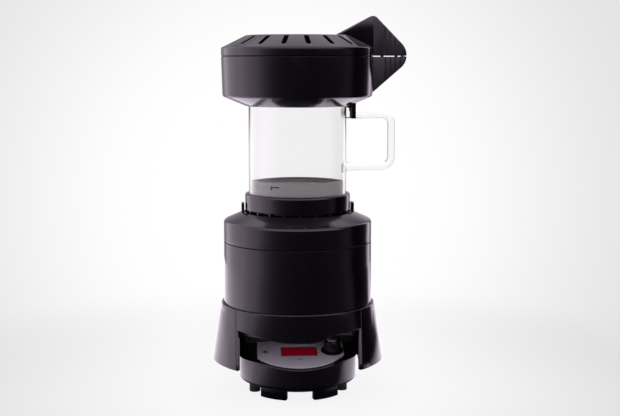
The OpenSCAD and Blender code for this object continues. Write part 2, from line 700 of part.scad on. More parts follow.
// The panel's own frame: origin at the middle of its front edge, Y up the slope, Z out of its face
module on_panel() { translate([0, -panel_r, panel_z]) rotate([panel_tilt, 0, 0]) children(); }
module slab(w0, w1, v0 = -20, v1 = 120) {
    on_panel() translate([-80, v0, w0]) cube([160, v1 - v0, w1 - w0]);
}
module at_knob() { on_panel() translate([knob_x, upper_row, 0]) children(); }
module at_start() { on_panel() translate([0, lower_row, 0]) children(); }
module at_mode() { on_panel() translate([mode_x, upper_row, 0]) children(); }
bush_r = encoder_r + fit + 0.7;

module control_tray() color(soft_black) difference() {
    union() {
        // Sloping floor, and a back wall up to the deck
        intersection() {
            rod(tray_r, 0, z_deck);
            union() {
                slab(-tray_low, -panel_t, -20, panel_r / cos(panel_tilt));
                translate([-tub_r, -1, panel_z + 10]) cube([2 * tub_r, shell_wall, z_deck - panel_z - 10]);
            }
        }
        on_panel() for (p = stand_places) translate(p) rod(3, -board_drop, -tray_low + 0.5);
    }
    on_panel() {
        translate([-display_w / 2 + 2, upper_row - display_h / 2 + 2, -board_drop])
            cube([display_w - 4, display_h - 4, board_drop]);
        for (p = stand_places) translate(p) rod(screw_r + fit, -board_drop - 1, -tray_low);
    }
    at_knob() rod(bush_r + key_gap, -board_drop, 1);
    at_start() rod(key_r + key_gap, -board_drop, 1);
    at_mode() rod(key_r + key_gap, -board_drop, 1);
}
module control_panel() color(silver) difference() {
    intersection() {
        rod(panel_r, 0, z_deck);
        slab(-panel_t, 0);
        front_block(panel_half, 0, z_deck);
        translate([0, -1.5, 0]) front_block(tub_r, 0, z_deck);
    }
    on_panel() translate([-display_w / 2 - slack, upper_row - display_h / 2 - slack, -5])
        cube([display_w + 2 * slack, display_h + 2 * slack, 10]);
    at_knob() rod(bush_r + key_gap, -5, 5);
    at_start() rod(key_r + key_gap, -5, 5);
    at_mode() rod(key_r + key_gap, -5, 5);
}
module display_lens() color("#5c0210") on_panel()
    translate([-display_w / 2, upper_row - display_h / 2, -panel_t])
        cube([display_w, display_h, panel_t + 0.2]);
module display_module() color("#30302f") on_panel() difference() {
    translate([-20, upper_row - 9, -board_drop]) cube([40, 18, board_drop - tray_low]);
    // Three digit windows
    for (i = [-1:1]) translate([i * 11 - 4, upper_row - 6, -tray_low - 1]) cube([8, 12, 2]);
}
switch_h = 3.4;
module key() {
    tip = -board_drop + switch_h;
    rod(key_r, tip + key_travel + fit, key_travel);
    rod(key_r + 1.6, -tray_low - 1.6, -tray_low - 0.3);
    rod(1.2, tip - 0.3, tip + key_travel + 1);
}
module start_button() color(soft_black) at_start() key();
module mode_button() color(steel) at_mode() key();
module key_switches() color("#403f41") for (p = [[0, lower_row], [mode_x, upper_row]]) on_panel() translate(p)
    difference() {
        translate([-3, -3, -board_drop]) cube([6, 6, switch_h]);
        rod(1.2 + 2 * fit, -board_drop + 1, 0);
    }

skirt_gap = knob_travel + 0.2;
module knob_skirt() color(silver) at_knob() ring(knob_skirt_r, bush_r + 1, skirt_gap, skirt_gap + 1.8);
module knob_body() color(black) at_knob() difference() {
    // Grip with finger flats between ridges
    translate([0, 0, skirt_gap + 1.8]) linear_extrude(knob_h - skirt_gap - 3.3)
        polygon([for (i = [0:35]) (i % 2 == 0 ? knob_r : knob_r - 0.5) * [cos(10 * i), sin(10 * i)]]);
    rod(encoder_r + fit, 0, knob_h - 4);
    rod(bush_r + 1, 0, skirt_gap + 3);
}
module knob_cap() color(steel) at_knob() turned_cap();
module turned_cap() {
    turned([[0, knob_h - 1.5, 0], [cap_r, knob_h - 1.5, 0], [cap_r, knob_h, 0.6], [0, knob_h, 0]]);
}
module encoder_shaft() color(steel) at_knob() rod(encoder_r, -6, knob_h - 4.2);
module encoder_plunger() color(rubber_grey) at_knob() rod(encoder_r, -6 - 1.5, -6);
module encoder_body() color(steel) at_knob() difference() {
    union() {
        translate([-6.5, -6, -board_drop]) cube([13, 12, board_drop - tray_low]);
        rod(bush_r, -tray_low - 1, skirt_gap - 0.3);
    }
    rod(encoder_r + fit, -board_drop + 1.5, 5);
}
module control_board() color(board_green) difference() {
    intersection() {
        rod(panel_r, 0, z_deck);
        slab(-board_drop - board_t, -board_drop, board_from, board_to);
        front_block(panel_half + 1, 0, z_deck);
    }
    on_panel() for (p = stand_places) translate(p) rod(screw_r + slack, -board_drop - 5, 0);
}
module board_screws() color(steel) on_panel() for (p = stand_places) translate(p) {
    rod(screw_r, -board_drop - board_t - 1, -board_drop + 4.5);
    rod(2 * screw_r, -board_drop - board_t - 1.6, -board_drop - board_t);
}

/* ---------- Power board ---------- */
board_low = z_tub + shell_wall + 2;
board_high = z_deck - 8;
ribbon_z = board_low + 9;
ribbon_w = 14;
ribbon_t = 1;
plug_w = ribbon_w + 2;
module ribbon_cable() color("#8d8f96") {
    drop = board_drop + board_t + plug_h - ribbon_t;
    under = panel_z + ribbon_v * sin(panel_tilt) - drop * cos(panel_tilt);
    y0 = -panel_r + (ribbon_v + plug_l / 2) * cos(panel_tilt) + drop * sin(panel_tilt) - ribbon_t / 2;
    on_panel() translate([-plug_w / 2, ribbon_v, -board_drop - board_t - plug_h])
        cube([plug_w, plug_l, plug_h]);
    translate([-ribbon_w / 2, y0, ribbon_z]) cube([ribbon_w, ribbon_t, under - ribbon_z]);
    translate([-ribbon_w / 2, y0, ribbon_z]) cube([ribbon_w, board_y - plug_l + 1.5 - y0, ribbon_t]);
    translate([-plug_w / 2, board_y - plug_l + 1, ribbon_z - 2]) cube([plug_w, plug_l - 1, plug_l - 1]);
}
module power_board() color(board_green)
    translate([-board_half, board_y, board_low]) cube([2 * board_half, board_t, board_high - board_low]);
module power_parts() color("#4b4d52") translate([0, board_y, board_low]) {
    // Heat sink with fins, relay, capacitors and terminals on the board's front face
    translate([-32, -16, 14]) {
        translate([0, 13, 0]) cube([20, 3, 28]);
        for (i = [0:4]) translate([i * 4.5, 0, 0]) cube([2, 13.5, 28]);
    }
    translate([12, -14, 24]) cube([19, 14, 16]);
    for (x = [14, 26]) translate([x, 0, 12]) rotate([90, 0, 0]) cylinder(d = 9, h = 16);
    translate([-lead_x - 6, board_t, 30]) cube([2 * lead_x + 12, 4, 10]);
}

/* ---------- Motor and blower ---------- */
z_motor = z_deck + deck_t + 3;
z_motor_top = z_motor + motor_h;
z_inlet = z_motor_top + 1.5;
plate_t = 2.5;
z_impeller = z_inlet + plate_t + 2;
z_housing = z_inlet + plate_t;
z_funnel = z_impeller + impeller_h + 3;
duct_r = heater_r + 2.5;
z_heater = z_funnel + 16;
z_heater_top = z_shelf + 0.8;
can_t = 1.5;
lead_x = 6;
lead_y = shroud_r + 7;
lead_r = 1.3;

module motor_deck() color(soft_black) difference() {
    rod(band_r - shell_wall - shell_gap, z_deck, z_deck + deck_t);
    rod(motor_r - 3, z_deck - 1, z_deck + 5);
    // Air slots in the rear half, behind the control tray
    intersection() {
        ring(shroud_r - 4, motor_r + 5, z_deck - 1, z_deck + 5);
        union() for (turn = [-60, 0, 60]) from_front(180 + turn) sector_slot();
    }
    for (side = [-1, 1]) translate([side * lead_x, lead_y, 0]) rod(lead_r + 0.5, z_deck - 1, z_deck + 5);
    for (turn = boss_turns) from_front(turn) translate([boss_at, 0, 0])
        rod(case_r + fit, z_deck - 1, z_deck + 5);
    for (turn = tie_turns) from_front(turn) translate([tie_at, 0, 0])
        rod(tie_r + 0.3, z_deck - 1, z_deck + 5);
}
module sector_slot() { rotate([0, 0, 90]) sector(2 * shroud_r, -25, 25, z_deck - 1, z_deck + 5); }
module motor_mount() color(rubber_grey)
    ring(motor_r, motor_r - 5, z_deck + deck_t, z_motor);
module motor_can() color(steel) difference() {
    rod(motor_r, z_motor, z_motor_top);
    rod(motor_r - can_t, z_motor + can_t, z_motor_top - can_t);
    rod(5 + slack, z_motor - 1, z_motor_top + 1);
}
module motor_magnets() color("#3a3b3f")
    ring(motor_r - can_t - fit, motor_r - can_t - 4, z_motor + 5, z_motor_top - 5);
module motor_bearings() color(steel) {
    ring(5, shaft_r + fit, z_motor, z_motor + 4);
    ring(5, shaft_r + fit, z_motor_top - 4, z_motor_top);
}
module motor_shaft() color(steel) rod(shaft_r, z_motor - 4, z_impeller + impeller_h + 1);
module motor_rotor() color(copper) {
    r = motor_r - can_t - 4.8;
    difference() {
        rod(r, z_motor + 6, z_motor_top - 6);
        rod(shaft_r + fit, z_motor, z_motor_top);
        for (i = [0:4]) rotate([0, 0, 72 * i]) translate([r, 0, (z_motor + z_motor_top) / 2])
            cube([5, 2, motor_h], center = true);
    }
}
module fan_shroud() color(soft_black) {
    ring(shroud_r, shroud_r - 2, z_deck + deck_t, z_inlet + eps);
    ring(shroud_r, motor_r + 6, z_inlet, z_inlet + plate_t);
}
module impeller() color(soft_black) difference() {
    union() {
        rod(8, z_impeller, z_impeller + impeller_h);
        rod(impeller_r, z_impeller + impeller_h - 1.2, z_impeller + impeller_h);
        for (i = [0:blade_count - 1]) rotate([0, 0, 360 * i / blade_count])
            translate([motor_r + 5, 0, z_impeller]) rotate([0, 0, 35])
                cube([(impeller_r - motor_r - 5) / 1.3, 1.2, impeller_h]);
    }
    rod(shaft_r + fit, z_impeller - 1, z_impeller + impeller_h + 1);
}
module blower_housing() color(soft_black) turned([[shroud_r - 2, z_housing, 0], [shroud_r, z_housing, 0],
    [shroud_r, z_funnel, 2], [duct_r, z_funnel + 10, 2], [duct_r, z_heater + 3, 0],
    [heater_r + slack, z_heater + 3, 0], [heater_r + slack, z_heater, 0], [duct_r - 4, z_heater, 0],
    [duct_r - 4, z_funnel + 9, 1], [shroud_r - 2, z_funnel - 0.5, 1]]);
module flow_straightener() color(soft_black) {
    r = duct_r - 4 - fit;
    z0 = z_heater - 5;
    ring(r, r - 1.2, z0, z_heater);
    rod(10, z0, z_heater);
    for (i = [0:7]) rotate([0, 0, 45 * i]) translate([9, -0.6, z0]) cube([r - 9.6, 1.2, 5]);
}

/* ---------- Heater ---------- */
module heater_tube() color(steel) {
    ring(heater_r, heater_r - 0.8, z_heater, z_heater_top);
    ring(recess_r - slack, heater_r - 0.8, z_shelf, z_heater_top);
}
arm_r = coil_r - wire_r - 0.3;
z_arm = z_heater + 6;
coil_h = z_heater_top - z_heater - 12;
module mica_cross() color(mica) for (i = [0, 1]) rotate([0, 0, 45 + 90 * i]) {
    // The second board is cut through where the first one passes
    difference() {
        union() {
            translate([-arm_r, -0.5, z_heater]) cube([2 * arm_r, 1, z_heater_top - z_heater - 2]);
            translate([-heater_r + 1.1, -0.5, z_heater]) cube([2 * heater_r - 2.2, 1, 4]);
        }
        if (i == 1) translate([-0.6, -1, z_heater - 1]) cube([1.2, 2, z_heater_top - z_heater]);
    }
}
// Heater winding: one unbroken helix of round wire
module heater_coil() color(steel) {
    steps = 24 * coil_turns;
    sides = 6;
    point = function(i, k) let (w = 15 * i, s = 360 * k / sides, r = coil_r + wire_r * cos(s))
        [r * cos(w), r * sin(w), z_arm + coil_h * i / steps + wire_r * sin(s)];
    polyhedron([for (i = [0:steps]) for (k = [0:sides - 1]) point(i, k)],
        concat([[for (k = [0:sides - 1]) k], [for (k = [sides - 1:-1:0]) steps * sides + k]],
            [for (i = [0:steps - 1]) for (k = [0:sides - 1])
                let (a = i * sides + k, b = i * sides + (k + 1) % sides)
                each [[a, a + sides, b], [b, a + sides, b + sides]]]));
}
guard_z = (z_heater + z_heater_top) / 2;
module side_mount(turn) {
    from_front(turn) translate([heater_r + 0.3, 0, guard_z]) rotate([0, 90, 0]) children();
}
module thermostat() color(steel) side_mount(90) {
    cylinder(r = 8, h = 4);
    cylinder(r = 6, h = 8);
    for (side = [-1, 1]) translate([side * 3 - 0.4, -2, 7]) cube([0.8, 4, 7]);
}
module thermal_fuse() color("#c9c2a8") side_mount(-90) {
    translate([0, 0, 1.8]) cube([16, 4.4, 3.6], center = true);
    translate([-11, -0.6, 1.2]) cube([22, 1.2, 1.2]);
}
module heater_leads() color("#d8d4cc") for (side = [-1, 1]) translate([side * lead_x, 0, 0]) {
    z_low = board_low + 35;
    y_low = board_y + board_t + 4;
    y_high = heater_r + 0.6;
    z_high = guard_z;
    translate([0, y_low, z_low]) rotate([-90, 0, 0]) cylinder(r = lead_r, h = lead_y - y_low);
    translate([0, lead_y, z_low]) sphere(r = lead_r);
    translate([0, lead_y, 0]) rod(lead_r, z_low, z_high);
    translate([0, lead_y, z_high]) sphere(r = lead_r);
    translate([0, y_high, z_high]) rotate([-90, 0, 0]) cylinder(r = lead_r, h = lead_y - y_high);
}
module duct_seal() color(rubber_grey)
    ring(spigot_r, heater_r - 0.4, z_heater_top, z_heater_top + seal_t);

lid_cover();
chaff_screen();
screen_ring();
collector_bowl();
riser_tube();
bean_guard();
collector_seal();
glass_chamber();
steel_cup();
air_plate();
chamber_seal();
chamber_collar();
top_cover();
main_shell();
base_skirt();
tub();
foot_ring();
intake_grille();
rubber_feet();
cord_gland();
tie_rods();
case_screws();
control_tray();
control_panel();
display_lens();
display_module();
start_button();
mode_button();
key_switches();
knob_skirt();
knob_body();
knob_cap();
encoder_shaft();
encoder_plunger();
encoder_body();
control_board();
board_screws();
ribbon_cable();
power_board();
power_parts();
motor_deck();
motor_mount();
motor_can();
motor_magnets();
motor_bearings();
motor_shaft();
motor_rotor();
fan_shroud();
impeller();
blower_housing();
flow_straightener();
heater_tube();
mica_cross();
heater_coil();
thermostat();
thermal_fuse();
heater_leads();
duct_seal();
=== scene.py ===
"""Looks of a home coffee bean roaster: shells, glass, controls, inner parts and a small studio.

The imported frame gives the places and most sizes. Shapes are drawn in millimetres and kept in metres.
"""

import json
import math

import bmesh
import bpy
from mathutils import Matrix, Vector


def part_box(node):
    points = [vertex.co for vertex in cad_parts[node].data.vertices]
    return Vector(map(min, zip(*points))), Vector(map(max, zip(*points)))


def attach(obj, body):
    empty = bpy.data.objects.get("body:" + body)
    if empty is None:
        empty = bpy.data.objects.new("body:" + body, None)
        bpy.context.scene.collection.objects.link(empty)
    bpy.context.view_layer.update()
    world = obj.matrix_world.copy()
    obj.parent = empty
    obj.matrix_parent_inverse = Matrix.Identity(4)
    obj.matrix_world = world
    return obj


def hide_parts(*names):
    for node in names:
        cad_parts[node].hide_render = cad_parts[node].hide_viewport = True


bl_info = {
    "name": "Coffee Bean Roaster",
    "version": (1, 0, 0),
    "blender": (4, 5, 0),
    "location": "View3D > Sidebar > Roaster",
    "description": "Builds the looks of a home coffee bean roaster around its frame",
    "category": "Object",
}

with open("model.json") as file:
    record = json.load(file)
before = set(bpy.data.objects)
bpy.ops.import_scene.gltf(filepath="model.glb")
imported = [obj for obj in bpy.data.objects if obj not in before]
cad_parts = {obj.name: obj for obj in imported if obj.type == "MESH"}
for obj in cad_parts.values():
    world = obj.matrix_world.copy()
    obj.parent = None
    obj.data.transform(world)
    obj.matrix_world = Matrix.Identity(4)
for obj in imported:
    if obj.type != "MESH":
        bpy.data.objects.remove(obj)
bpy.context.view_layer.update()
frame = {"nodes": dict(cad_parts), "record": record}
MM = 0.001
AROUND = 192  # steps of a full turn on the large shells


def low(node):
    """Lowest corner of a frame node, in millimetres."""
    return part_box(node)[0] / MM


def high(node):
    """Highest corner of a frame node, in millimetres."""
    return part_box(node)[1] / MM


# Heights and radii that the frame gives, in millimetres
Z_TUB = low("tub").z
Z_DECK = low("motor_deck").z
Z_SKIRT = low("base_skirt").z
Z_SEAM = low("main_shell").z
Z_COVER = high("main_shell").z
Z_SHELF = low("duct_seal").z - 0.8
Z_SPIGOT = low("chamber_collar").z
Z_COLLAR_TOP = high("chamber_collar").z
Z_CUP_LOW = low("steel_cup").z
Z_CUP = high("steel_cup").z
Z_GLASS = low("glass_chamber").z
Z_GLASS_TOP = high("glass_chamber").z
Z_LEDGE = high("collector_seal").z
Z_SPLIT = high("collector_bowl").z
Z_LIP = low("lid_cover").z
Z_POST = high("top_cover").z
TUB_R = high("tub").x
FOOT_R = high("foot_ring").x
SKIRT_R = high("base_skirt").x
BODY_R = high("top_cover").x
BODY_LOW_R = high("main_shell").x
COLLAR_R = high("chamber_collar").x
GLASS_R = -low("glass_chamber").x
CUP_R = high("steel_cup").x
BOWL_R = -low("collector_bowl").x
RISER_R = high("riser_tube").x - 10
Z_BELT = Z_DECK - 3
Z_SHOULDER = Z_COVER + 22.3
Z_GUTTER = Z_SHOULDER + 4
Z_NECK = Z_GUTTER + 5
Z_COLLAR = Z_SPIGOT + 9.4
Z_BOWL = low("collector_bowl").z + 13.7
Z_BAND = Z_LEDGE + 0.1
Z_TOP = low("lid_cover").z + 25  # flat top of the cover
Z_RIM = Z_TOP - 12.8
Z_HANDLE = Z_BOWL - 9.7  # upper arm of the glass handle
Z_CORD = Z_SKIRT + 16
NECK_R = 57.4
TOP_R = 53  # flat top of the cover
SLOT_FROM, SLOT_TO = 55, 72.5  # ends of an air slot
CONE = math.atan2(Z_TOP - Z_RIM, BOWL_R - TOP_R)  # slope of the cover's cone
PADDLE = (98.6, 354.0, 17.0)  # middle and radius of the paddle's outer corner
PADDLE_T = 9
GROOVE_X, GROOVE_STEP = 92.5, 5.3  # first grip groove and the way to the next
RIB_COUNT, RIB_PITCH = 19, 17.5  # vent ribs, degrees apart
BELT_R = 62.9  # bore of the skirt round the tub
CHEEK_X = 64.5  # outer faces of the cheeks beside the controls
NOTCH = 9.4  # height of the notches between the foot ring's lugs
WALL = 2.5
SHEET = 0.8  # thickness of the perforated discs


# ---------- Outlines and meshes ----------


def rounded(corners, step=15, fixed=0):
    """Outline from corners (x, y, radius), with an arc at each corner that has a radius."""
    points = []
    for i, (x, y, radius) in enumerate(corners):
        here = Vector((x, y))
        if radius <= 0:
            points.append(here)
            continue
        back = (Vector(corners[i - 1][:2]) - here).normalized()
        on = (Vector(corners[(i + 1) % len(corners)][:2]) - here).normalized()
        half = back.angle(on) / 2
        centre = here + (back + on).normalized() * radius / math.sin(half)
        first = here + back * radius / math.tan(half) - centre
        turn = first.angle_signed(here + on * radius / math.tan(half) - centre)
        count = fixed or max(2, math.ceil(math.degrees(abs(turn)) / step))
        for k in range(count + 1):
            points.append(centre + turned_by(first, -turn * k / count))
    return points


def turned_by(vector, angle):
    """A flat vector turned counter-clockwise by an angle in radians."""
    c, s = math.cos(angle), math.sin(angle)
    return Vector((vector.x * c - vector.y * s, vector.x * s + vector.y * c))


def anticlockwise(points):
    """The outline's points in counter-clockwise order."""
    area = sum(a.x * b.y - b.x * a.y for a, b in zip(points, points[1:] + points[:1]))
    return points if area > 0 else points[::-1]


def at_turn(radius, turn, z):
    """Point at a radius, a turn in degrees from the front (positive to the right) and a height."""
    a = math.radians(turn)
    return Vector((radius * math.sin(a), -radius * math.cos(a), z))


def mesh_from(bm, name):
    """Finished mesh in metres from a bmesh in millimetres: merged, and smooth up to a sharp angle."""
    bmesh.ops.remove_doubles(bm, verts=bm.verts, dist=1e-4)
    mesh = bpy.data.meshes.new(name)
    bm.to_mesh(mesh)
    bm.free()
    mesh.transform(Matrix.Scale(MM, 4))
    smooth(mesh)
    return mesh


def smooth(mesh, angle=34):
    """Smooth shading, with edges over the angle kept sharp."""
    mesh.shade_smooth()
    mesh.set_sharp_from_angle(angle=math.radians(angle))


def lathe(corners, around=AROUND):
    """Closed solid of revolution about Z from an outline of corners (radius, height, rounding)."""
    outline = anticlockwise(rounded(corners))
    return ringed([(360 * k / around, outline) for k in range(around)], "lathe")


def drum(radius, z0, z1, low_edge=0, top_edge=0, around=64):
    """Cylinder about Z with rounded rims."""
    return lathe([(0, z0, 0), (radius, z0, low_edge), (radius, z1, top_edge), (0, z1, 0)], around)


def hoop(inner, outer, z0, z1, edge, around=AROUND):
    """Ring about Z with rounded edges."""
    return lathe([(inner, z0, edge), (outer, z0, edge), (outer, z1, edge), (inner, z1, edge)], around)


def ringed(sections, name="ring"):
    """Closed ring through sections (turn from the front, outline of radius and height)."""
    bm = bmesh.new()
    columns = [[bm.verts.new(at_turn(max(p.x, 0), turn, p.y)) for p in outline] for turn, outline in sections]
    outline = sections[0][1]
    for here, there in zip(columns, columns[1:] + columns[:1]):
        for i in range(len(outline)):
            j = (i + 1) % len(outline)
            if outline[i].x > 0 or outline[j].x > 0:
                bm.faces.new((here[i], there[i], there[j], here[j]))
    return mesh_from(bm, name)


def loft(loops, name="loft"):
    """Closed solid through loops of equally many points, the first and last of which are capped."""
    bm = bmesh.new()
    rows = [[bm.verts.new(p) for p in loop] for loop in loops]
    count = len(rows[0])
    for lower, upper in zip(rows, rows[1:]):
        for i in range(count):
            j = (i + 1) % count
            bm.faces.new((lower[i], lower[j], upper[j], upper[i]))
    bm.faces.new(rows[0][::-1])
    bm.faces.new(rows[-1])
    bmesh.ops.recalc_face_normals(bm, faces=bm.faces)
    return mesh_from(bm, name)


def grown(outline, amount):
    """Counter-clockwise outline moved outwards by an amount."""
    result = []
    for i, p in enumerate(outline):
        back = (p - outline[i - 1]).normalized()
        on = (outline[(i + 1) % len(outline)] - p).normalized()
        normal = Vector((back.y + on.y, -back.x - on.x))
        normal = normal.normalized() if normal.length > 1e-6 else Vector((back.y, -back.x))
        result.append(p + normal * amount / max(0.5, normal.dot(Vector((back.y, -back.x)))))
    return result


def plate(outline, thickness, edge, place=None, name="plate"):
    """Flat plate of an outline in its XY, with rounded edges, from z 0 up to its thickness."""
    outline = anticlockwise(outline)
    place = place or Matrix.Identity(4)
    loops = []
    for z, inset in rounded_steps(thickness, edge):
        loops.append([place @ Vector((p.x, p.y, z)) for p in grown(outline, -inset)])
    return loft(loops, name)


def rounded_steps(thickness, edge, count=4):
    """Heights and insets of a plate's loops, with its two edges rounded to a quarter circle."""
    steps = [(i / count) * math.pi / 2 for i in range(count + 1)]
    bottom = [(edge * (1 - math.cos(w)), edge * (1 - math.sin(w))) for w in steps]
    return bottom + [(thickness - z, inset) for z, inset in bottom[::-1]]


def block(x0, x1, y0, y1, z0, z1, edge):
    """Box with rounded edges."""
    corners = [(x0, y0, edge), (x1, y0, edge), (x1, y1, edge), (x0, y1, edge)]
    return plate(rounded(corners, 30), z1 - z0, edge, Matrix.Translation((0, 0, z0)), "block")


def joined(*meshes):
    """One mesh that holds all the given meshes."""
    bm = bmesh.new()
    for mesh in meshes:
        bm.from_mesh(mesh)
    result = bpy.data.meshes.new("joined")
    bm.to_mesh(result)
    bm.free()
    smooth(result)
    return result


def moved(mesh, matrix):
    """The mesh placed by a matrix whose shift is in millimetres."""
    matrix = matrix.copy()
    matrix.translation *= MM
    mesh.transform(matrix)
    return mesh


def turned_from_front(mesh, turn):
    """The mesh turned about Z so that what lay along +X lies at a turn from the front."""
    return moved(mesh, Matrix.Rotation(math.radians(turn - 90), 4, "Z"))


def new_object(mesh, name="work"):
    """Object that holds a mesh, at the origin of the scene."""
    made = bpy.data.objects.new(name, mesh)
    bpy.context.scene.collection.objects.link(made)
    return made


def plain_mesh(work, *others):
    """The mesh of an object as its modifiers leave it. The object and any helpers are removed."""
    bpy.context.view_layer.update()
    depsgraph = bpy.context.evaluated_depsgraph_get()
    mesh = bpy.data.meshes.new_from_object(work.evaluated_get(depsgraph), depsgraph=depsgraph)
    for used in (work, *others):
        bpy.data.objects.remove(used)
    return mesh


def welded(mesh):
    """The mesh with its matching points merged."""
    bm = bmesh.new()
    bm.from_mesh(mesh)
    bmesh.ops.remove_doubles(bm, verts=bm.verts, dist=1e-6)
    bm.to_mesh(mesh)
    bm.free()
    return mesh


def combined(base, other, operation):
    """Boolean of two closed meshes."""
    work, tool = new_object(base), new_object(other, "tool")
    boolean = work.modifiers.new("Boolean", "BOOLEAN")
    boolean.operation = operation
    boolean.solver = "MANIFOLD"
    boolean.object = tool
    mesh = plain_mesh(work, tool)
    if not mesh.polygons:
        raise RuntimeError(f"The {operation.lower()} of {base.name} and {other.name} left nothing")
    smooth(mesh)
    return mesh


def union(whole, *others):
    """Closed meshes made one, one after another."""
    for other in others:
        whole = combined(whole, other, "UNION")
    return whole


def less(whole, *tools):
    """A closed mesh with tools taken out of it, one after another."""
    for tool in tools:
        whole = combined(whole, tool, "DIFFERENCE")
    return whole


# ---------- Geometry Nodes ----------


class Tree:
    """A node tree in the making."""

    def __init__(self, tree):
        self.tree = tree

    def add(self, kind, inputs=None, **settings):
        """New node with its settings, and its inputs linked or set."""
        node = self.tree.nodes.new(kind)
        for key, value in settings.items():
            setattr(node, key, value)
        for key, value in (inputs or {}).items():
            self.feed(node.inputs[key], value)
        return node

    def feed(self, socket, value):
        """Links a socket to an output or a node's first output, or sets it to a plain value."""
        if isinstance(value, bpy.types.Node):
            value = next(s for s in value.outputs if s.enabled)
        if isinstance(value, bpy.types.NodeSocket):
            self.tree.links.new(value, socket)
        else:
            socket.default_value = value

    def maths(self, operation, a, b=0.0):
        """Math node of two values."""
        return self.add("ShaderNodeMath", {0: a, 1: b}, operation=operation)

    def mix(self, factor, first, second):
        """Value between two values."""
        return self.add("ShaderNodeMix", {0: factor, 2: first, 3: second}, data_type="FLOAT").outputs[0]

    def blend(self, factor, first, second):
        """Colour between two colours."""
        return self.add("ShaderNodeMix", {0: factor, 6: first, 7: second}, data_type="RGBA").outputs[2]

    def ramp(self, value, low, high, low_out=0.0, high_out=1.0, kind="LINEAR"):
        """A value's range mapped onto another."""
        return self.add(
            "ShaderNodeMapRange", {"Value": value, 1: low, 2: high, 3: low_out, 4: high_out}, interpolation_type=kind
        )

    def eased(self, value, low, high, low_out=0.0, high_out=1.0):
        """A value's range mapped smoothly onto another."""
        return self.ramp(value, low, high, low_out, high_out, "SMOOTHSTEP")

    def place(self):
        """Place on the piece, in its own coordinates."""
        return self.add("ShaderNodeTexCoord").outputs["Object"]

    def parts(self, vector):
        """Parts of a vector, by axis."""
        return self.add("ShaderNodeSeparateXYZ", {"Vector": vector}).outputs

    def length(self, vector):
        """Length of a vector."""
        return self.add("ShaderNodeVectorMath", {0: vector}, operation="LENGTH").outputs["Value"]

    def from_axis(self, parts):
        """Distance from the Z axis of a place that is given by its parts."""
        return self.length(self.add("ShaderNodeCombineXYZ", {"X": parts["X"], "Y": parts["Y"]}))


class Recipe(Tree):
    """A Geometry Nodes tree in the making, with named inputs and one geometry output."""

    KINDS = {
        "count": "NodeSocketInt",
        "length": "NodeSocketFloat",
        "angle": "NodeSocketFloat",
        "vector": "NodeSocketVector",
        "object": "NodeSocketObject",
        "material": "NodeSocketMaterial",
        "geometry": "NodeSocketGeometry",
    }

    def __init__(self, name, **inputs):
        super().__init__(bpy.data.node_groups.new(name, "GeometryNodeTree"))
        for label, kind in inputs.items():
            self.tree.interface.new_socket(titled(label), in_out="INPUT", socket_type=self.KINDS[kind])
        self.tree.interface.new_socket("Geometry", in_out="OUTPUT", socket_type="NodeSocketGeometry")
        self.entry = self.add("NodeGroupInput")

    def given(self, label):
        """Output socket of a named input."""
        return self.entry.outputs[titled(label)]

    def on_points(self, points, **settings):
        """Instances of the part on points."""
        part = self.add("GeometryNodeObjectInfo", {"Object": self.given("part")}).outputs["Geometry"]
        return self.add("GeometryNodeInstanceOnPoints", {"Points": points, "Instance": part, **settings})

    def body_less(self, tools):
        """The body with the tools taken out of it."""
        tools = self.add("GeometryNodeRealizeInstances", {"Geometry": tools})
        cut = self.add("GeometryNodeMeshBoolean", operation="DIFFERENCE", solver="MANIFOLD")
        self.feed(cut.inputs[0], self.given("body"))
        self.feed(cut.inputs[1], tools)
        return cut

    def finish(self, geometry):
        """Realizes instances, sets the material and closes the tree."""
        real = self.add("GeometryNodeRealizeInstances", {"Geometry": geometry})
        painted = self.add("GeometryNodeSetMaterial", {"Geometry": real, "Material": self.given("material")})
        leave = self.add("NodeGroupOutput")
        self.feed(leave.inputs[0], painted)
        return self.tree


def titled(label):
    """Socket title of a keyword."""
    return label.replace("_", " ").capitalize()


def grow(tree, base=None, helpers=(), **values):
    """Plain mesh that a tree makes of a base mesh and its named values. Helper objects are removed."""
    work = new_object(base or bpy.data.meshes.new("empty"))
    modifier = work.modifiers.new(tree.name, "NODES")
    modifier.node_group = tree
    sockets = {item.name: item.identifier for item in tree.interface.items_tree if item.in_out == "INPUT"}
    for label, value in values.items():
        modifier[sockets[titled(label)]] = value
    mesh = plain_mesh(work, *helpers)
    if not mesh.polygons:
        raise RuntimeError(f"{tree.name} made nothing")
    smooth(mesh)
    return mesh


def placed_copies(recipe):
    """Instances of the part, each stepped and turned on from the one before."""
    number = recipe.add("GeometryNodeInputIndex")
    step = recipe.add("ShaderNodeVectorMath", {0: recipe.given("step"), 1: number}, operation="MULTIPLY")
    points = recipe.add("GeometryNodePoints", {"Count": recipe.given("count"), "Position": step})
    turn = recipe.maths("MULTIPLY", recipe.given("turn"), number)
    turn = recipe.maths("ADD", recipe.given("first"), turn)
    return recipe.on_points(points, Rotation=recipe.add("ShaderNodeCombineXYZ", {"Z": turn}))


COPY_INPUTS = {"part": "object", "count": "count", "step": "vector", "first": "angle", "turn": "angle"}


def copies_tree():
    """Copies of one part along a line or round the axis."""
    recipe = Recipe("Copies", **COPY_INPUTS, material="material")
    return recipe.finish(placed_copies(recipe))


def cuts_tree():
    """A body with copies of one cutter taken out of it."""
    recipe = Recipe("Cuts", body="geometry", **COPY_INPUTS, material="material")
    return recipe.finish(recipe.body_less(placed_copies(recipe)))


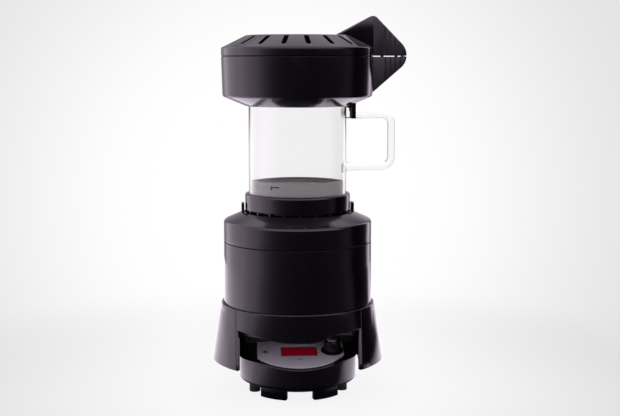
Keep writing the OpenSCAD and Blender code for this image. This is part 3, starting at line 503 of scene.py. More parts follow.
def perforation_tree():
    """A plate with rings of holes, one pitch apart."""
    recipe = Recipe("Perforation", body="geometry", part="object", rings="count", pitch="length", material="material")
    start = recipe.add("GeometryNodeRepeatInput")
    end = recipe.add("GeometryNodeRepeatOutput")
    start.pair_with_output(end)
    recipe.feed(start.inputs["Iterations"], recipe.given("rings"))
    number = recipe.maths("ADD", start.outputs["Iteration"], 1.0)
    radius = recipe.maths("MULTIPLY", number, recipe.given("pitch"))
    holes = recipe.maths("FLOOR", recipe.maths("MULTIPLY", number, 2 * math.pi))
    row = recipe.on_points(recipe.add("GeometryNodeMeshCircle", {"Vertices": holes, "Radius": radius}))
    gather = recipe.add("GeometryNodeJoinGeometry", {0: start.outputs["Geometry"]})
    recipe.feed(gather.inputs[0], row)
    recipe.feed(end.inputs["Geometry"], gather)
    return recipe.finish(recipe.body_less(end.outputs["Geometry"]))


def winding_tree():
    """Wire wound in a helix about the axis."""
    recipe = Recipe("Winding", turns="length", radius="length", rise="length", wire="length", material="material")
    radius = recipe.given("radius")
    helix = recipe.add(
        "GeometryNodeCurveSpiral",
        {"Resolution": 96, "Rotations": recipe.given("turns"), "Start Radius": radius, "End Radius": radius,
         "Height": recipe.given("rise")},
    )
    section = recipe.add("GeometryNodeCurvePrimitiveCircle", {"Resolution": 12, "Radius": recipe.given("wire")})
    return recipe.finish(
        recipe.add("GeometryNodeCurveToMesh", {"Curve": helix, "Profile Curve": section, "Fill Caps": True})
    )


def copies(part, finish, count, turn=0.0, first=0.0, step=(0, 0, 0), body=None):
    """Evenly placed copies of a part, or a body less such copies. Turns are in degrees, steps in millimetres."""
    helper = new_object(part, "part")
    return grow(
        copies_tree() if body is None else cuts_tree(), body, [helper], part=helper, count=count,
        step=[MM * s for s in step], first=math.radians(first), turn=math.radians(turn), material=finish,
    )


def perforated(radius, z0, hole, pitch, reach):
    """Disc of sheet steel with rings of round holes from one pitch out to a reach."""
    disc = drum(radius, z0, z0 + SHEET, 0.2, 0.2, around=144)
    helper = new_object(drum(hole, z0 - 1, z0 + 2, around=14))
    rings = int(reach // pitch)
    return grow(
        perforation_tree(), disc, [helper], part=helper, rings=rings, pitch=pitch * MM, material=satin_steel()
    )


# ---------- Finishes ----------


class Effect(Tree):
    """A shader node group in the making, with named inputs and outputs."""

    def __init__(self, name, inputs, outputs):
        super().__init__(bpy.data.node_groups.new(name, "ShaderNodeTree"))
        for title, (kind, default) in inputs.items():
            socket = self.tree.interface.new_socket(title, in_out="INPUT", socket_type=f"NodeSocket{kind}")
            if default is not None:
                socket.default_value = default
        for title in outputs:
            self.tree.interface.new_socket(title, in_out="OUTPUT", socket_type="NodeSocketFloat")
        self.entry = self.add("NodeGroupInput")
        self.leave = self.add("NodeGroupOutput")

    def given(self, title):
        """Output socket of a named input."""
        return self.entry.outputs[title]

    def give(self, title, value):
        """Hands a value out under a title."""
        self.feed(self.leave.inputs[title], value)

    def noise(self, vector, scale, detail=2.0):
        """Noise of a fixed kind, as a value from 0 to 1."""
        return self.add("ShaderNodeTexNoise", {"Vector": vector, "Scale": scale, "Detail": detail})


def once(builder):
    """Builds a node group or material on the first call and hands the same one out after that."""
    kept = {}

    def get(*key):
        if key not in kept:
            kept[key] = builder(*key)
        return kept[key]

    return get


@once
def moulded_skin():
    """Skin of a moulded part: slow waves in the gloss, fine grain, handling smears and settled dust."""
    effect = Effect(
        "Moulded skin",
        {"Wave scale": ("Float", 45.0), "Grain scale": ("Float", 2600.0), "Grain": ("Float", 0.1)},
        ("Height", "Smears", "Dust"),
    )
    place = effect.place()
    waves = effect.noise(place, effect.given("Wave scale"))
    grain = effect.noise(place, effect.given("Grain scale"), 1.0)
    effect.give("Height", effect.maths("ADD", waves, effect.maths("MULTIPLY", grain, effect.given("Grain"))))
    stretched = effect.add("ShaderNodeMapping", {"Vector": place, "Scale": (1.0, 1.0, 0.3)})
    effect.give("Smears", effect.eased(effect.noise(stretched, 70.0, 4.0), 0.35, 0.75))
    effect.give("Dust", effect.eased(effect.noise(place, 1500.0, 0.0), 0.74, 0.80))
    return effect.tree


@once
def seam_gap():
    """Mask of the shadow gap between two shells: a height range inside a radius."""
    effect = Effect(
        "Seam gap", {"Height": ("Float", 0.0), "Half width": ("Float", 0.0009), "Radius": ("Float", 0.078)}, ("Gap",)
    )
    parts = effect.parts(effect.place())
    off = effect.maths("ABSOLUTE", effect.maths("SUBTRACT", parts["Z"], effect.given("Height")))
    gap = effect.maths("LESS_THAN", off, effect.given("Half width"))
    inside = effect.maths("LESS_THAN", effect.from_axis(parts), effect.given("Radius"))
    effect.give("Gap", effect.maths("MULTIPLY", gap, inside))
    return effect.tree


@once
def turned_lines():
    """Fine lines round the axis, as on spun and brushed sheet metal."""
    effect = Effect("Turned lines", {"Fineness": ("Float", 5000.0)}, ("Height", "Streaks"))
    parts = effect.parts(effect.place())
    fineness = effect.given("Fineness")
    line = effect.add(
        "ShaderNodeCombineXYZ",
        {"X": effect.maths("MULTIPLY", effect.from_axis(parts), fineness),
         "Y": effect.maths("MULTIPLY", parts["X"], 60.0), "Z": effect.maths("MULTIPLY", parts["Z"], fineness)},
    )
    effect.give("Height", effect.noise(line, 1.0))
    effect.give("Streaks", effect.eased(effect.noise(line, 0.21), 0.3, 0.7))
    return effect.tree


class Finish(Tree):
    """A material in the making round one Principled shader."""

    def __init__(self, name, **constants):
        self.material = bpy.data.materials.new(name)
        self.material.use_nodes = True
        super().__init__(self.material.node_tree)
        self.shader = self.tree.nodes["Principled BSDF"]
        for key, value in constants.items():
            self.shader.inputs[key.replace("_", " ")].default_value = value

    def group(self, tree, **values):
        """A placed effect, with its own values."""
        node = self.add("ShaderNodeGroup", node_tree=tree)
        for key, value in values.items():
            self.feed(node.inputs[key.replace("_", " ")], value)
        return node

    def between(self, factor, low, high):
        """Value between two values."""
        return self.ramp(factor, 0.0, 1.0, low, high)

    def shaded_gap(self, height, radius):
        """Takes the gloss off the shadow gap at a height, inside a radius, both in millimetres."""
        gap = self.group(seam_gap(), Height=height * MM, Radius=radius * MM)
        self.feed(self.shader.inputs["Specular IOR Level"], self.between(gap.outputs["Gap"], 0.5, 0.0))

    def noise(self, scale, detail=2.0, stretch=(1, 1, 1)):
        """Noise on the piece's own coordinates."""
        place = self.add("ShaderNodeMapping", {"Vector": self.place(), "Scale": stretch})
        return self.add("ShaderNodeTexNoise", {"Vector": place, "Scale": scale, "Detail": detail})

    # Feeds every finish's colour as given, including painted light and painted shade where a finish has them
    def wear(self, colour=None, roughness=None, height=None, depth=0.00002, strength=1.0):
        """Feeds the shader and hands out the material."""
        if colour is not None:
            self.feed(self.shader.inputs["Base Color"], colour)
        if roughness is not None:
            self.feed(self.shader.inputs["Roughness"], roughness)
        if height is not None:
            bump = self.add("ShaderNodeBump", {"Height": height, "Distance": depth, "Strength": strength})
            self.feed(self.shader.inputs["Normal"], bump)
        return self.material


def paint(name, brighter=1.0):
    """A colour of the panel's settings, with its alpha at 1."""
    r, g, b = getattr(bpy.context.scene.roaster_colours, name)
    return (r * brighter, g * brighter, b * brighter, 1.0)


GLOSS = {"Specular_Tint": (1.0, 0.92, 1.03, 1.0), "IOR": 1.5}


@once
def gloss_black():
    """High-gloss black moulded plastic."""
    made = Finish("Gloss black plastic", **GLOSS)
    skin = made.group(moulded_skin(), Wave_scale=40.0, Grain=0.02)
    colour = made.blend(skin.outputs["Dust"], paint("plastic"), paint("plastic", 6.0))
    rough = made.between(skin.outputs["Smears"], 0.10, 0.16)
    made.shaded_gap(Z_COVER + 0.45, BODY_R - 0.3)
    return made.wear(colour, rough, skin.outputs["Height"], 0.00003, 0.5)


@once
def gripped_black():
    """Gloss black plastic that turns satin on the paddle, outside the round shell."""
    made = Finish("Gloss and satin black plastic", **GLOSS)
    skin = made.group(moulded_skin(), Wave_scale=40.0, Grain=0.02)
    smears = skin.outputs["Smears"]
    satin = made.ramp(made.from_axis(made.parts(made.place())), (BOWL_R + 0.5) * MM, (BOWL_R + 0.9) * MM)
    colour = made.blend(skin.outputs["Dust"], paint("plastic"), paint("plastic", 6.0))
    colour = made.blend(satin, colour, made.blend(smears, paint("paddle"), paint("paddle", 1.25)))
    rough = made.mix(satin, made.between(smears, 0.10, 0.16), made.between(smears, 0.34, 0.42))
    made.shaded_gap(Z_SPLIT - 0.45, BOWL_R - 0.3)
    return made.wear(colour, rough, skin.outputs["Height"], 0.00003, 0.5)


def moulded(name, mask, colour, paler, rough, rougher, depth, skin, **constants):
    """Finish of a moulded part: its colour mottled over a mask of the skin, its gloss over the smears."""
    made = Finish(name, **constants)
    skin = made.group(moulded_skin(), **skin)
    mottled = made.blend(skin.outputs[mask], paint(colour), paint(colour, paler))
    return made.wear(mottled, made.between(skin.outputs["Smears"], rough, rougher), skin.outputs["Height"], depth)


@once
def matte_black():
    """Fine spark-eroded black plastic."""
    skin = {"Wave_scale": 60.0, "Grain_scale": 3200.0, "Grain": 0.8}
    return moulded("Matte black plastic", "Smears", "inner_plastic", 1.5, 0.42, 0.55, 0.00004, skin, IOR=1.5)


@once
def satin_steel(shade=1.0):
    """Satin stainless steel with fine turned lines; a lower shade darkens it as painted shade, for parts that stand in
    shadow.
    """
    # painted shade: a lower shade gives a darkened copy of the steel
    made = Finish("Satin steel" if shade == 1 else "Darkened steel", Metallic=1.0)
    lines = made.group(turned_lines(), Fineness=5200.0)
    colour = made.blend(lines.outputs["Streaks"], paint("steel", 0.9 * shade), paint("steel", 1.06 * shade))
    rough = made.between(lines.outputs["Streaks"], 0.36, 0.46)
    return made.wear(colour, rough, lines.outputs["Height"], 0.000006)


@once
def silver_lacquer():
    """Silver-grey lacquer with fine flake, and painted light that makes it paler towards the back of the panel, where
    the recess gets little light.
    """
    made = Finish("Silver lacquer", Metallic=0.0, Coat_Weight=0.35, Coat_Roughness=0.2, Specular_IOR_Level=0.5)
    skin = made.group(moulded_skin(), Wave_scale=90.0, Grain_scale=5200.0, Grain=0.6)
    colour = made.blend(made.noise(9000.0, 0.0), paint("lacquer", 0.9), paint("lacquer", 1.12))
    # painted light: the lacquer is made paler towards the back of the recess, standing in for light that does not
    # reach it there
    painted_fill_light = made.ramp(made.parts(made.place())["Y"], -0.055, -0.01)
    colour = made.blend(painted_fill_light, colour, paint("lacquer", 1.7))
    rough = made.between(skin.outputs["Smears"], 0.36, 0.46)
    return made.wear(colour, rough, skin.outputs["Height"], 0.00001)


@once
def red_acrylic():
    """Dark red window with a faint painted glow that lightens its red."""
    # painted glow: a faint red emission lightens the window, which has no light of its own drawn behind it
    return moulded(
        "Red acrylic", "Smears", "lens", 1.12, 0.12, 0.18, 0.00001, {"Wave_scale": 120.0, "Grain": 0.0},
        Coat_Weight=1.0, Coat_Roughness=0.06, Emission_Color=(1.0, 0.004, 0.06, 1.0), Emission_Strength=0.06,
    )


@once
def clear_glass():
    """Clear drawn glass with faint waves."""
    made = Finish(
        "Clear glass", Base_Color=(0.99, 0.985, 0.99, 1.0), Transmission_Weight=1.0, Roughness=0.0, IOR=1.47
    )
    body = made.add("ShaderNodeVolumeAbsorption", {"Color": (0.80, 0.76, 0.79, 1.0), "Density": 9.0})
    made.tree.links.new(body.outputs[0], made.tree.nodes["Material Output"].inputs["Volume"])
    return made.wear(height=made.noise(30.0, 1.0, (1.0, 1.0, 0.25)), depth=0.00008, strength=0.25)


@once
def rubbery(which):
    """Silicone or rubber: soft sheen and a dusty skin."""
    skin = {"Wave_scale": 120.0, "Grain_scale": 2200.0, "Grain": 0.6}
    return moulded(f"{which} skin".capitalize(), "Dust", which, 2.2, 0.55, 0.72, 0.00004, skin, IOR=1.42)


@once
def inner_finish(slot, scale, stretch, contrast, roughness, metallic):
    """Finish of an inner part: its record colour, mottled or streaked at its own scale."""
    base = next(m for m in frame["record"]["materials"] if m["slot"] == slot)["base_color"][:3]
    made = Finish(slot.replace("_", " ").capitalize(), Metallic=metallic)
    grain = made.noise(scale, 3.0, stretch)
    dark = (*(c * (1 - contrast) for c in base), 1.0)
    pale = (*(min(1.0, c * (1 + contrast)) for c in base), 1.0)
    rough = made.between(grain, roughness, roughness + 0.15)
    return made.wear(made.blend(grain, dark, pale), rough, grain, 0.00003)


# Finishes by the record's slots
FINISHES = {
    "black_gloss": gloss_black,
    "black_matte": matte_black,
    "steel": satin_steel,
    "silver_panel": silver_lacquer,
    "red_lens": red_acrylic,
    "glass": clear_glass,
}
# Scale and stretch of the mottling, contrast, roughness and metal of the inner parts, by slot
INNER = {
    "dark_part": (2500.0, (1, 1, 1), 0.25, 0.45, 0.0),
    "board": (420.0, (1, 0.15, 1), 0.5, 0.3, 0.0),
    "board_parts": (1800.0, (1, 1, 0.05), 0.25, 0.3, 0.9),
    "magnet": (3500.0, (1, 1, 1), 0.3, 0.6, 0.0),
    "winding": (2600.0, (0.06, 1, 1), 0.45, 0.3, 1.0),
    "mica": (260.0, (1, 1, 0.2), 0.3, 0.35, 0.0),
    "fuse_ceramic": (1400.0, (1, 1, 1), 0.12, 0.6, 0.0),
    "wire_jacket": (3200.0, (1, 1, 0.4), 0.3, 0.7, 0.0),
}


def finish_of(slot):
    """Material of a slot."""
    if slot in INNER:
        return inner_finish(slot, *INNER[slot])
    return FINISHES[slot]() if slot in FINISHES else rubbery(slot)


def slot_of(node):
    """Material slot that the record gives a node."""
    return next(row["material_slot"] for row in frame["record"]["subparts"] if row["node"] == node)


def body_of(node):
    """Body that a node belongs to."""
    return next(name for name, nodes in frame["record"]["behaviour"]["bodies"].items() if node in nodes)


def put(mesh, name, *nodes, slot=None, finish=None):
    """Makes a finished mesh a piece that stands for frame nodes, on their body and in their finish."""
    slot = slot or slot_of(nodes[0])
    mesh.materials.clear()
    mesh.materials.append(finish() if finish else finish_of(slot))
    piece = new_object(mesh, name)
    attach(piece, body_of(nodes[0]))
    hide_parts(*nodes)
    return piece


# ---------- Shapes of the pieces ----------


def swept(corners, ends, edge, around):
    """Wall round the axis from an outline, between two ends with rounded edges.

    ends gives the first and last turn from the front at a radius, moved in by a distance.
    """
    outline = anticlockwise(rounded(corners))

    def loop(share, moved_in, inset):
        points = []
        for p in grown(outline, -inset):
            first, last = ends(p.x, moved_in)
            points.append(at_turn(p.x, first + (last - first) * share, p.y))
        return points

    quarter = [i * math.pi / 8 for i in range(5)]
    start = [(edge * (1 - math.cos(w)), edge * (1 - math.sin(w))) for w in quarter]
    loops = [loop(0, moved_in, inset) for moved_in, inset in start]
    loops += [loop(k / around, edge, 0) for k in range(1, around)]
    loops += [loop(1, moved_in, inset) for moved_in, inset in start[::-1]]
    return loft(loops, "swept")


def sector_ends(first, last):
    """Ends in planes through the axis, at two turns from the front."""
    return lambda r, moved_in: (first + math.degrees(moved_in / r), last - math.degrees(moved_in / r))


def upright_ends(half):
    """Ends in the planes x = half and x = -half, round the back."""

    def ends(r, moved_in):
        turn = math.degrees(math.asin(min(1.0, (half + moved_in) / r)))
        return turn, 360 - turn

    return ends


def sheet_wall(columns, wall, edge):
    """Wall of even thickness behind a closed band of point columns, with its free edges rounded."""
    bm = bmesh.new()
    rows = [[bm.verts.new(p) for p in column] for column in columns]
    for here, there in zip(rows, rows[1:] + rows[:1]):
        for i in range(len(here) - 1):
            bm.faces.new((here[i], there[i], there[i + 1], here[i + 1]))
    bmesh.ops.recalc_face_normals(bm, faces=bm.faces)
    work = new_object(mesh_from(bm, "sheet"))
    solid = work.modifiers.new("Wall", "SOLIDIFY")
    solid.thickness = wall * MM
    solid.offset = -1
    solid.use_even_offset = True
    soft = work.modifiers.new("Edges", "BEVEL")
    soft.width = edge * MM
    soft.segments = 4
    soft.limit_method = "ANGLE"
    soft.angle_limit = math.radians(60)
    mesh = plain_mesh(work)
    smooth(mesh)
    return mesh


def evenly(points, most):
    """Open polyline with points added so that no step is longer than a limit."""
    result = [points[0]]
    for a, b in zip(points, points[1:]):
        count = max(1, math.ceil((b - a).length / most))
        result += [a.lerp(b, k / count) for k in range(1, count + 1)]
    return result


def rod_along(path, radii, sides=32):
    """Round rod along points, with a radius at each."""
    loops = []
    side = Vector((0, 1, 0))
    turns = [2 * math.pi * k / sides for k in range(sides)]
    for i, (here, radius) in enumerate(zip(path, radii)):
        along = (path[min(i + 1, len(path) - 1)] - path[max(i - 1, 0)]).normalized()
        up = along.cross(side)
        loops.append([here + radius * (math.cos(w) * side + math.sin(w) * up) for w in turns])
    return loft(loops, "rod")


HANDLE = Matrix.Rotation(math.radians(6), 4, "Z")  # the handle and paddle stand a little to the back
UPRIGHT = Matrix(((1, 0, 0, 0), (0, 0, -1, 4.5), (0, 1, 0, 0), (0, 0, 0, 1)))  # plate stood on its edge


def gripped(outline, finish):
    """Paddle half of an outline, with the grip grooves of both its sides."""
    half = PADDLE_T / 2
    mesh = plate(outline, PADDLE_T, 1.0, UPRIGHT)
    width, depth = size("groove_width"), size("groove_depth")
    x0, x1 = GROOVE_X - width / 2, GROOVE_X + width / 2
    tools = [block(x0, x1, y0, y1, 300, 410, 0.35) for y0, y1 in ((half - depth, 6), (-6, depth - half))]
    return copies(joined(*tools), finish, 4, step=(GROOVE_STEP, 0, 0), body=mesh)


def slot_cutter():
    """Cutter of one air slot, square to the cover's cone and flared at its mouth."""
    width, flare = size("slot_width"), size("slot_round")
    long = (SLOT_TO - SLOT_FROM) / math.cos(CONE) / 2
    end = width / 2.001
    outline = rounded(
        [(-long, -width / 2, end), (long, -width / 2, end), (long, width / 2, end), (-long, width / 2, end)], 20
    )
    steps = [(-7, 0), (-flare, 0)]
    steps += [(-flare * (1 - math.sin(w)), flare * (1 - math.cos(w))) for w in (0.4, 0.8, 1.15, 1.4)]
    steps += [(0.4, flare * 1.1), (3, flare * 1.1)]
    middle = (SLOT_FROM + SLOT_TO) / 2
    height = Z_TOP - (middle - TOP_R) * math.tan(CONE)
    place = Matrix.Translation((middle, 0, height)) @ Matrix.Rotation(CONE, 4, "Y")
    return loft([[place @ Vector((p.x, p.y, z)) for p in grown(outline, out)] for z, out in steps], "slot")


def build_cover():
    """Slotted cover with its half of the paddle."""
    finish = gloss_black()
    inner = Z_TOP - 2.2
    shell = lathe(
        [(0, Z_TOP, 0), (TOP_R, Z_TOP, 2), (BOWL_R, Z_RIM, 2.2), (BOWL_R, Z_SPLIT, 0.2), (76.5, Z_SPLIT, 0),
         (76.5, Z_LIP, 0.4), (74.5, Z_LIP, 0.4), (74.5, Z_RIM - 2.2, 1), (52.5, inner, 2),
         (50, inner, 0), (50, Z_TOP - 13, 0.5), (48, Z_TOP - 13, 0.5), (48, inner, 0), (0, inner, 0)]
    )
    count = size_of("slot_count")
    shell = copies(slot_cutter(), finish, count, 360 / count, 16, body=shell)
    x, z, r = PADDLE
    outline = rounded(
        [(38.6, Z_TOP - 1.2, 0), (52.6, Z_TOP - 1.2, 0), (77.9, Z_RIM - 0.8, 0), (77.9, Z_SPLIT, 0),
         (x + r, Z_SPLIT, 0.8), *arc(x, z, r, 4, 45), (80.65, 396.0, 6), (38.6, Z_TOP - 0.2, 0)], 6
    )
    return union(shell, moved(gripped(outline, finish), HANDLE))


def arc(x, y, radius, first, last, step=5):
    """Corners along an arc, in degrees."""
    count = max(1, math.ceil(abs(last - first) / step))
    turns = [math.radians(first + (last - first) * k / count) for k in range(count + 1)]
    return [(x + radius * math.cos(w), y + radius * math.sin(w), 0) for w in turns]


def build_collector():
    """Chaff bowl with its half of the paddle and the fork that hangs over the glass handle."""
    bowl = lathe(
        [(51.4, Z_BOWL, 0.8), (54, Z_BOWL, 1), (77.9, Z_BAND, 3), (BOWL_R, Z_SPLIT - 0.9, 0.15),
         (78.0, Z_SPLIT - 0.9, 0), (78.0, Z_SPLIT, 0.1), (76.7, Z_SPLIT, 0.1), (75.7, Z_BAND + 2.2, 3),
         (53.4, Z_BOWL + 3.3, 1), (53.4, Z_LEDGE + 2.2, 0.4), (30, Z_LEDGE + 2.2, 0.4), (30, Z_LEDGE, 0.3),
         (51.4, Z_LEDGE, 0)]
    )
    x, z, r = PADDLE
    split = Z_SPLIT - 1
    outline = rounded(
        [(76.9, 313.4, 0), (109.6, 341.1, 0), *arc(x, z, r, -49.5, -5), (x + r, split, 0.8), (77.9, split, 0)], 6
    )
    half = gripped(outline, gloss_black())
    tabs = [block(r - 1.5, r + 1.5, -1.5, 1.5, split - 1.5, Z_SPLIT, 0.3) for r in (89.8, 104.9)]
    low_z = Z_HANDLE - 4
    fork = [
        block(55.9, 61, 4.6, 6.6, low_z, Z_HANDLE + 13.2, 0.6),
        block(55.9, 61, -6.6, -4.6, low_z, Z_HANDLE + 13.2, 0.6),
        block(51.9, 61, -6.6, 6.6, Z_HANDLE + 7.2, Z_HANDLE + 12.7, 0.6),
    ]
    return union(bowl, *(moved(piece, HANDLE) for piece in (half, *tabs, *fork)))


def build_glass():
    """Glass tube with fire-polished rims and the handle fused to its side."""
    tube = hoop(48.4, GLASS_R, Z_GLASS, Z_GLASS_TOP, 1.25)
    top, bottom, reach = Z_HANDLE, Z_BOWL - 64.6, 100.3
    turns = [i * math.pi / 16 for i in range(9)]
    flare = [(49.4 + 6.2 * (1 - math.cos(w)), 2.6 * (1 - math.sin(w))) for w in turns]
    bend = arc(reach - 10, top - 10, 10, 90, 0, 9)
    path = [Vector((x, 0, top)) for x, _ in flare] + [Vector((x, 0, z)) for x, z, _ in bend]
    extra = [out for _, out in flare] + [0] * len(bend)
    lower = [Vector((p.x, 0, top + bottom - p.z)) for p in path[::-1]]
    rod = rod_along(path + lower, [4 + e for e in extra + extra[::-1]])
    return union(tube, moved(rod, HANDLE))


def build_cup():
    """Steel cup with its L-shaped latch slot and a small hole at the right."""
    cup = lathe(
        [(44.5, Z_CUP_LOW, 0), (CUP_R, Z_CUP_LOW, 0.6), (CUP_R, Z_CUP, 0.5), (46.2, Z_CUP, 0.5),
         (46.2, Z_CUP - 1.2, 0), (47.2, Z_CUP - 2, 0), (47.2, Z_CUP_LOW + 0.8, 0.4), (44.5, Z_CUP_LOW + 0.8, 0)]
    )
    slot_z = Z_CUP - 5.2
    slot = union(
        block(44, 52, 0, 8, slot_z, slot_z + 2.4, 0.3), block(44, 52, -1.6, 0.4, slot_z - 2.4, slot_z + 2.4, 0.3)
    )
    hole = moved(drum(1.1, 44, 52, around=24), Matrix.Rotation(math.pi / 2, 4, "Y"))
    hole = moved(hole, Matrix.Translation((0, 0, Z_CUP - 3.6)))
    return less(cup, turned_from_front(slot, -35), turned_from_front(hole, 73))


def build_top_cover():
    """Shoulder of the body with its neck, the vent ribs and the two latch posts."""
    shell = lathe(
        [(76.9, Z_COVER, 0), (76.9, Z_COVER + 0.9, 0), (BODY_R, Z_COVER + 0.9, 0.15), (BODY_R, Z_SHOULDER, 3.5),
         (NECK_R, Z_NECK, 1.2), (55.8, Z_NECK, 0.5), (55.8, Z_GUTTER, 0.6), (50.1, Z_GUTTER, 0.3),
         (50.1, Z_SHELF, 0), (45.2, Z_SHELF, 0.2), (45.2, Z_SHELF - 2.5, 0), (52.3, Z_SHELF - 2.5, 0),
         (52.3, Z_GUTTER - 2.5, 0), (55.8, Z_GUTTER - 2.5, 0), (75.1, Z_SHOULDER - 2.5, 2), (75.1, Z_COVER + 5, 0),
         (72.7, Z_COVER + 4, 0), (72.7, Z_COVER - 4, 0), (74.7, Z_COVER - 4, 0.3), (74.7, Z_COVER, 0)]
    )
    finish = gloss_black()
    rib = moved(block(50.7, 53.7, -1.2, 1.2, Z_GUTTER - 1, Z_COLLAR, 0.4), Matrix.Rotation(-math.pi / 2, 4, "Z"))
    post = block(56, 59.1, -6, 6, Z_NECK - 4, Z_POST, 0.8)
    return union(
        shell, copies(rib, finish, RIB_COUNT, RIB_PITCH, -RIB_PITCH * (RIB_COUNT // 2)), copies(post, finish, 2, 180)
    )


def build_collar():
    """Black collar that carries the glass, with its spigot."""
    return lathe(
        [(44.4, Z_SPIGOT, 0.3), (49.6, Z_SPIGOT, 1), (49.6, Z_COLLAR, 0), (COLLAR_R, Z_COLLAR, 0.8),
         (COLLAR_R, Z_COLLAR_TOP, 2.4), (51.4, Z_COLLAR_TOP, 1), (51.4, Z_CUP_LOW, 0), (44.4, Z_CUP_LOW, 0)]
    )


def build_body():
    """Plain middle shell with the rabbet of its lower seam."""
    return lathe(
        [(BODY_LOW_R - 0.8, Z_SEAM, 0), (BODY_LOW_R - 0.8, Z_SEAM + 0.6, 0), (BODY_LOW_R, Z_SEAM + 0.6, 0.3),
         (BODY_R, Z_COVER, 0.15), (BODY_R - WALL, Z_COVER, 0), (BODY_LOW_R - WALL, Z_SEAM, 0)]
    )


def wing_r(z):
    """Outside radius of the skirt's wings at a height."""
    return 80.5 + (SKIRT_R - 80.5) * (Z_SEAM - z) / (Z_SEAM - Z_SKIRT)


def band_r(turn, z):
    """Outside radius of the skirt's front band, which flares into the wings at both sides."""
    share = min(1.0, abs(turn) / 48)
    return 78.8 + (wing_r(z) - 0.25 - 78.8) * share * share * (3 - 2 * share)


def arch_z(x):
    """Height of the band's lower edge over the controls, higher to both sides and over the knob."""
    steps = [(-200, 75.6), (-62, 75.6), (-52, 74.5), (-40, 72.0), (-28, 68.9), (-14, 67.1), (0, 67.0), (14, 67.2),
             (22, 69.4), (30, 74.2), (44, 75.2), (58, 76.4), (200, 76.4)]
    for (x0, z0), (x1, z1) in zip(steps, steps[1:]):
        if x0 <= x <= x1:
            return z0 + (z1 - z0) * (x - x0) / (x1 - x0)
    return Z_BELT


def band_section(turn):
    """Section of the skirt's band and its rabbet at a turn from the front."""
    turn = (turn + 180) % 360 - 180
    low_z = arch_z(80 * math.sin(math.radians(turn))) if abs(turn) < 70 else Z_BELT
    hidden = 1.2 if abs(turn) > 54 else 0
    low_r, top_r = band_r(turn, low_z) - hidden, band_r(turn, Z_SEAM) - hidden
    return anticlockwise(rounded(
        [(low_r, low_z, 0.9), (top_r, Z_SEAM, 0.8), (75.2, Z_SEAM, 0), (75.2, Z_SEAM + 4, 0.3), (73.2, Z_SEAM + 4, 0),
         (73.2, Z_SEAM - 3, 0), (low_r - WALL, Z_SEAM - 6, 0), (low_r - WALL, low_z, 0.9)], fixed=5
    ))


def wing_post(side):
    """Thick front edge of a wing, with a round nose towards the opening."""
    nose, front = 2.6, 62.0 if side < 0 else 58.4
    heights = [(Z_SKIRT, 0.9), (Z_SKIRT + 0.3, 0.3), (Z_SKIRT + 1, 0)]
    heights += [(Z_SKIRT + 1 + (Z_SEAM - 2 - Z_SKIRT) * k / 10, 0) for k in range(1, 11)]
    heights += [(Z_SEAM - 0.3, 0.3), (Z_SEAM, 0.9)]
    loops = []
    for z, inset in heights:
        r = wing_r(z) + 0.02
        turn = math.asin((front + nose) / (r - nose))
        middle = at_turn(r - nose, math.degrees(turn), 0)
        out = Vector((math.sin(turn), -math.cos(turn)))
        on = Vector((-math.cos(turn), -math.sin(turn)))
        halves = [math.pi * k / 16 for k in range(17)]
        points = [middle.xy + nose * (math.cos(w) * out + math.sin(w) * on) for w in halves]
        rest = [math.degrees(turn) + 1.3 * k for k in range(1, 7)]
        points += [at_turn(r - 2 * nose, t, 0).xy for t in rest] + [at_turn(r, t, 0).xy for t in rest[::-1]]
        outline = anticlockwise([Vector((side * p.x, p.y)) for p in points])
        loops.append([Vector((p.x, p.y, z)) for p in grown(outline, -inset)])
    return loft(loops, "post")


def build_skirt():
    """Band and flared wings, open at the front, with the cheeks, floor web and cord boss."""
    band = ringed([(k * 1.25, band_section(k * 1.25)) for k in range(288)])
    flange = swept(
        [(BELT_R, Z_BELT, 0), (78, Z_BELT, 0), (78, Z_DECK, 0), (BELT_R, Z_DECK, 0)], sector_ends(75, 285), 0.1, 160
    )
    low_r, top_r = wing_r(Z_SKIRT), wing_r(Z_SEAM)
    wall = swept(
        [(low_r, Z_SKIRT, 1.1), (top_r, Z_SEAM, 1.0), (top_r - WALL, Z_SEAM, 1.0), (low_r - WALL, Z_SKIRT, 1.1)],
        upright_ends(67), 1.1, 160,
    )
    web = swept(
        [(BELT_R, Z_SKIRT + 1, 0), (low_r - 1.2, Z_SKIRT + 1, 0), (low_r - 1.4, Z_SKIRT + 3.5, 0),
         (BELT_R, Z_SKIRT + 3.5, 0)], upright_ends(64.2), 0.1, 160
    )
    low_y = -math.sqrt((wing_r(Z_SKIRT + 1) - 1.3) ** 2 - CHEEK_X**2)
    high_y = -math.sqrt((wing_r(Z_BELT + 1) - 1.3) ** 2 - CHEEK_X**2)
    corners = ((low_y, Z_SKIRT + 1.2), (high_y, Z_BELT + 1), (-6, Z_BELT + 1), (-6, Z_SKIRT + 1.2))
    outline = [Vector(p) for p in corners]
    cyclic = Matrix(((0, 0, 1, 0), (1, 0, 0, 0), (0, 1, 0, 0), (0, 0, 0, 1)))
    cheeks = [plate(outline, 2.5, 0.3, Matrix.Translation((x, 0, 0)) @ cyclic) for x in (CHEEK_X - 2.5, -CHEEK_X)]
    to_back = Matrix.Translation((0, 0, Z_CORD)) @ Matrix.Rotation(math.pi / 2, 4, "Y")
    boss, bore = (
        turned_from_front(moved(mesh, to_back), 180)
        for mesh in (drum(11, 74, 90, 0, 0.8), drum(6.9, 70, 99, around=48))
    )
    posts = [wing_post(side) for side in (-1, 1)]
    return less(union(band, flange, wall, web, *posts, *cheeks, boss), bore)


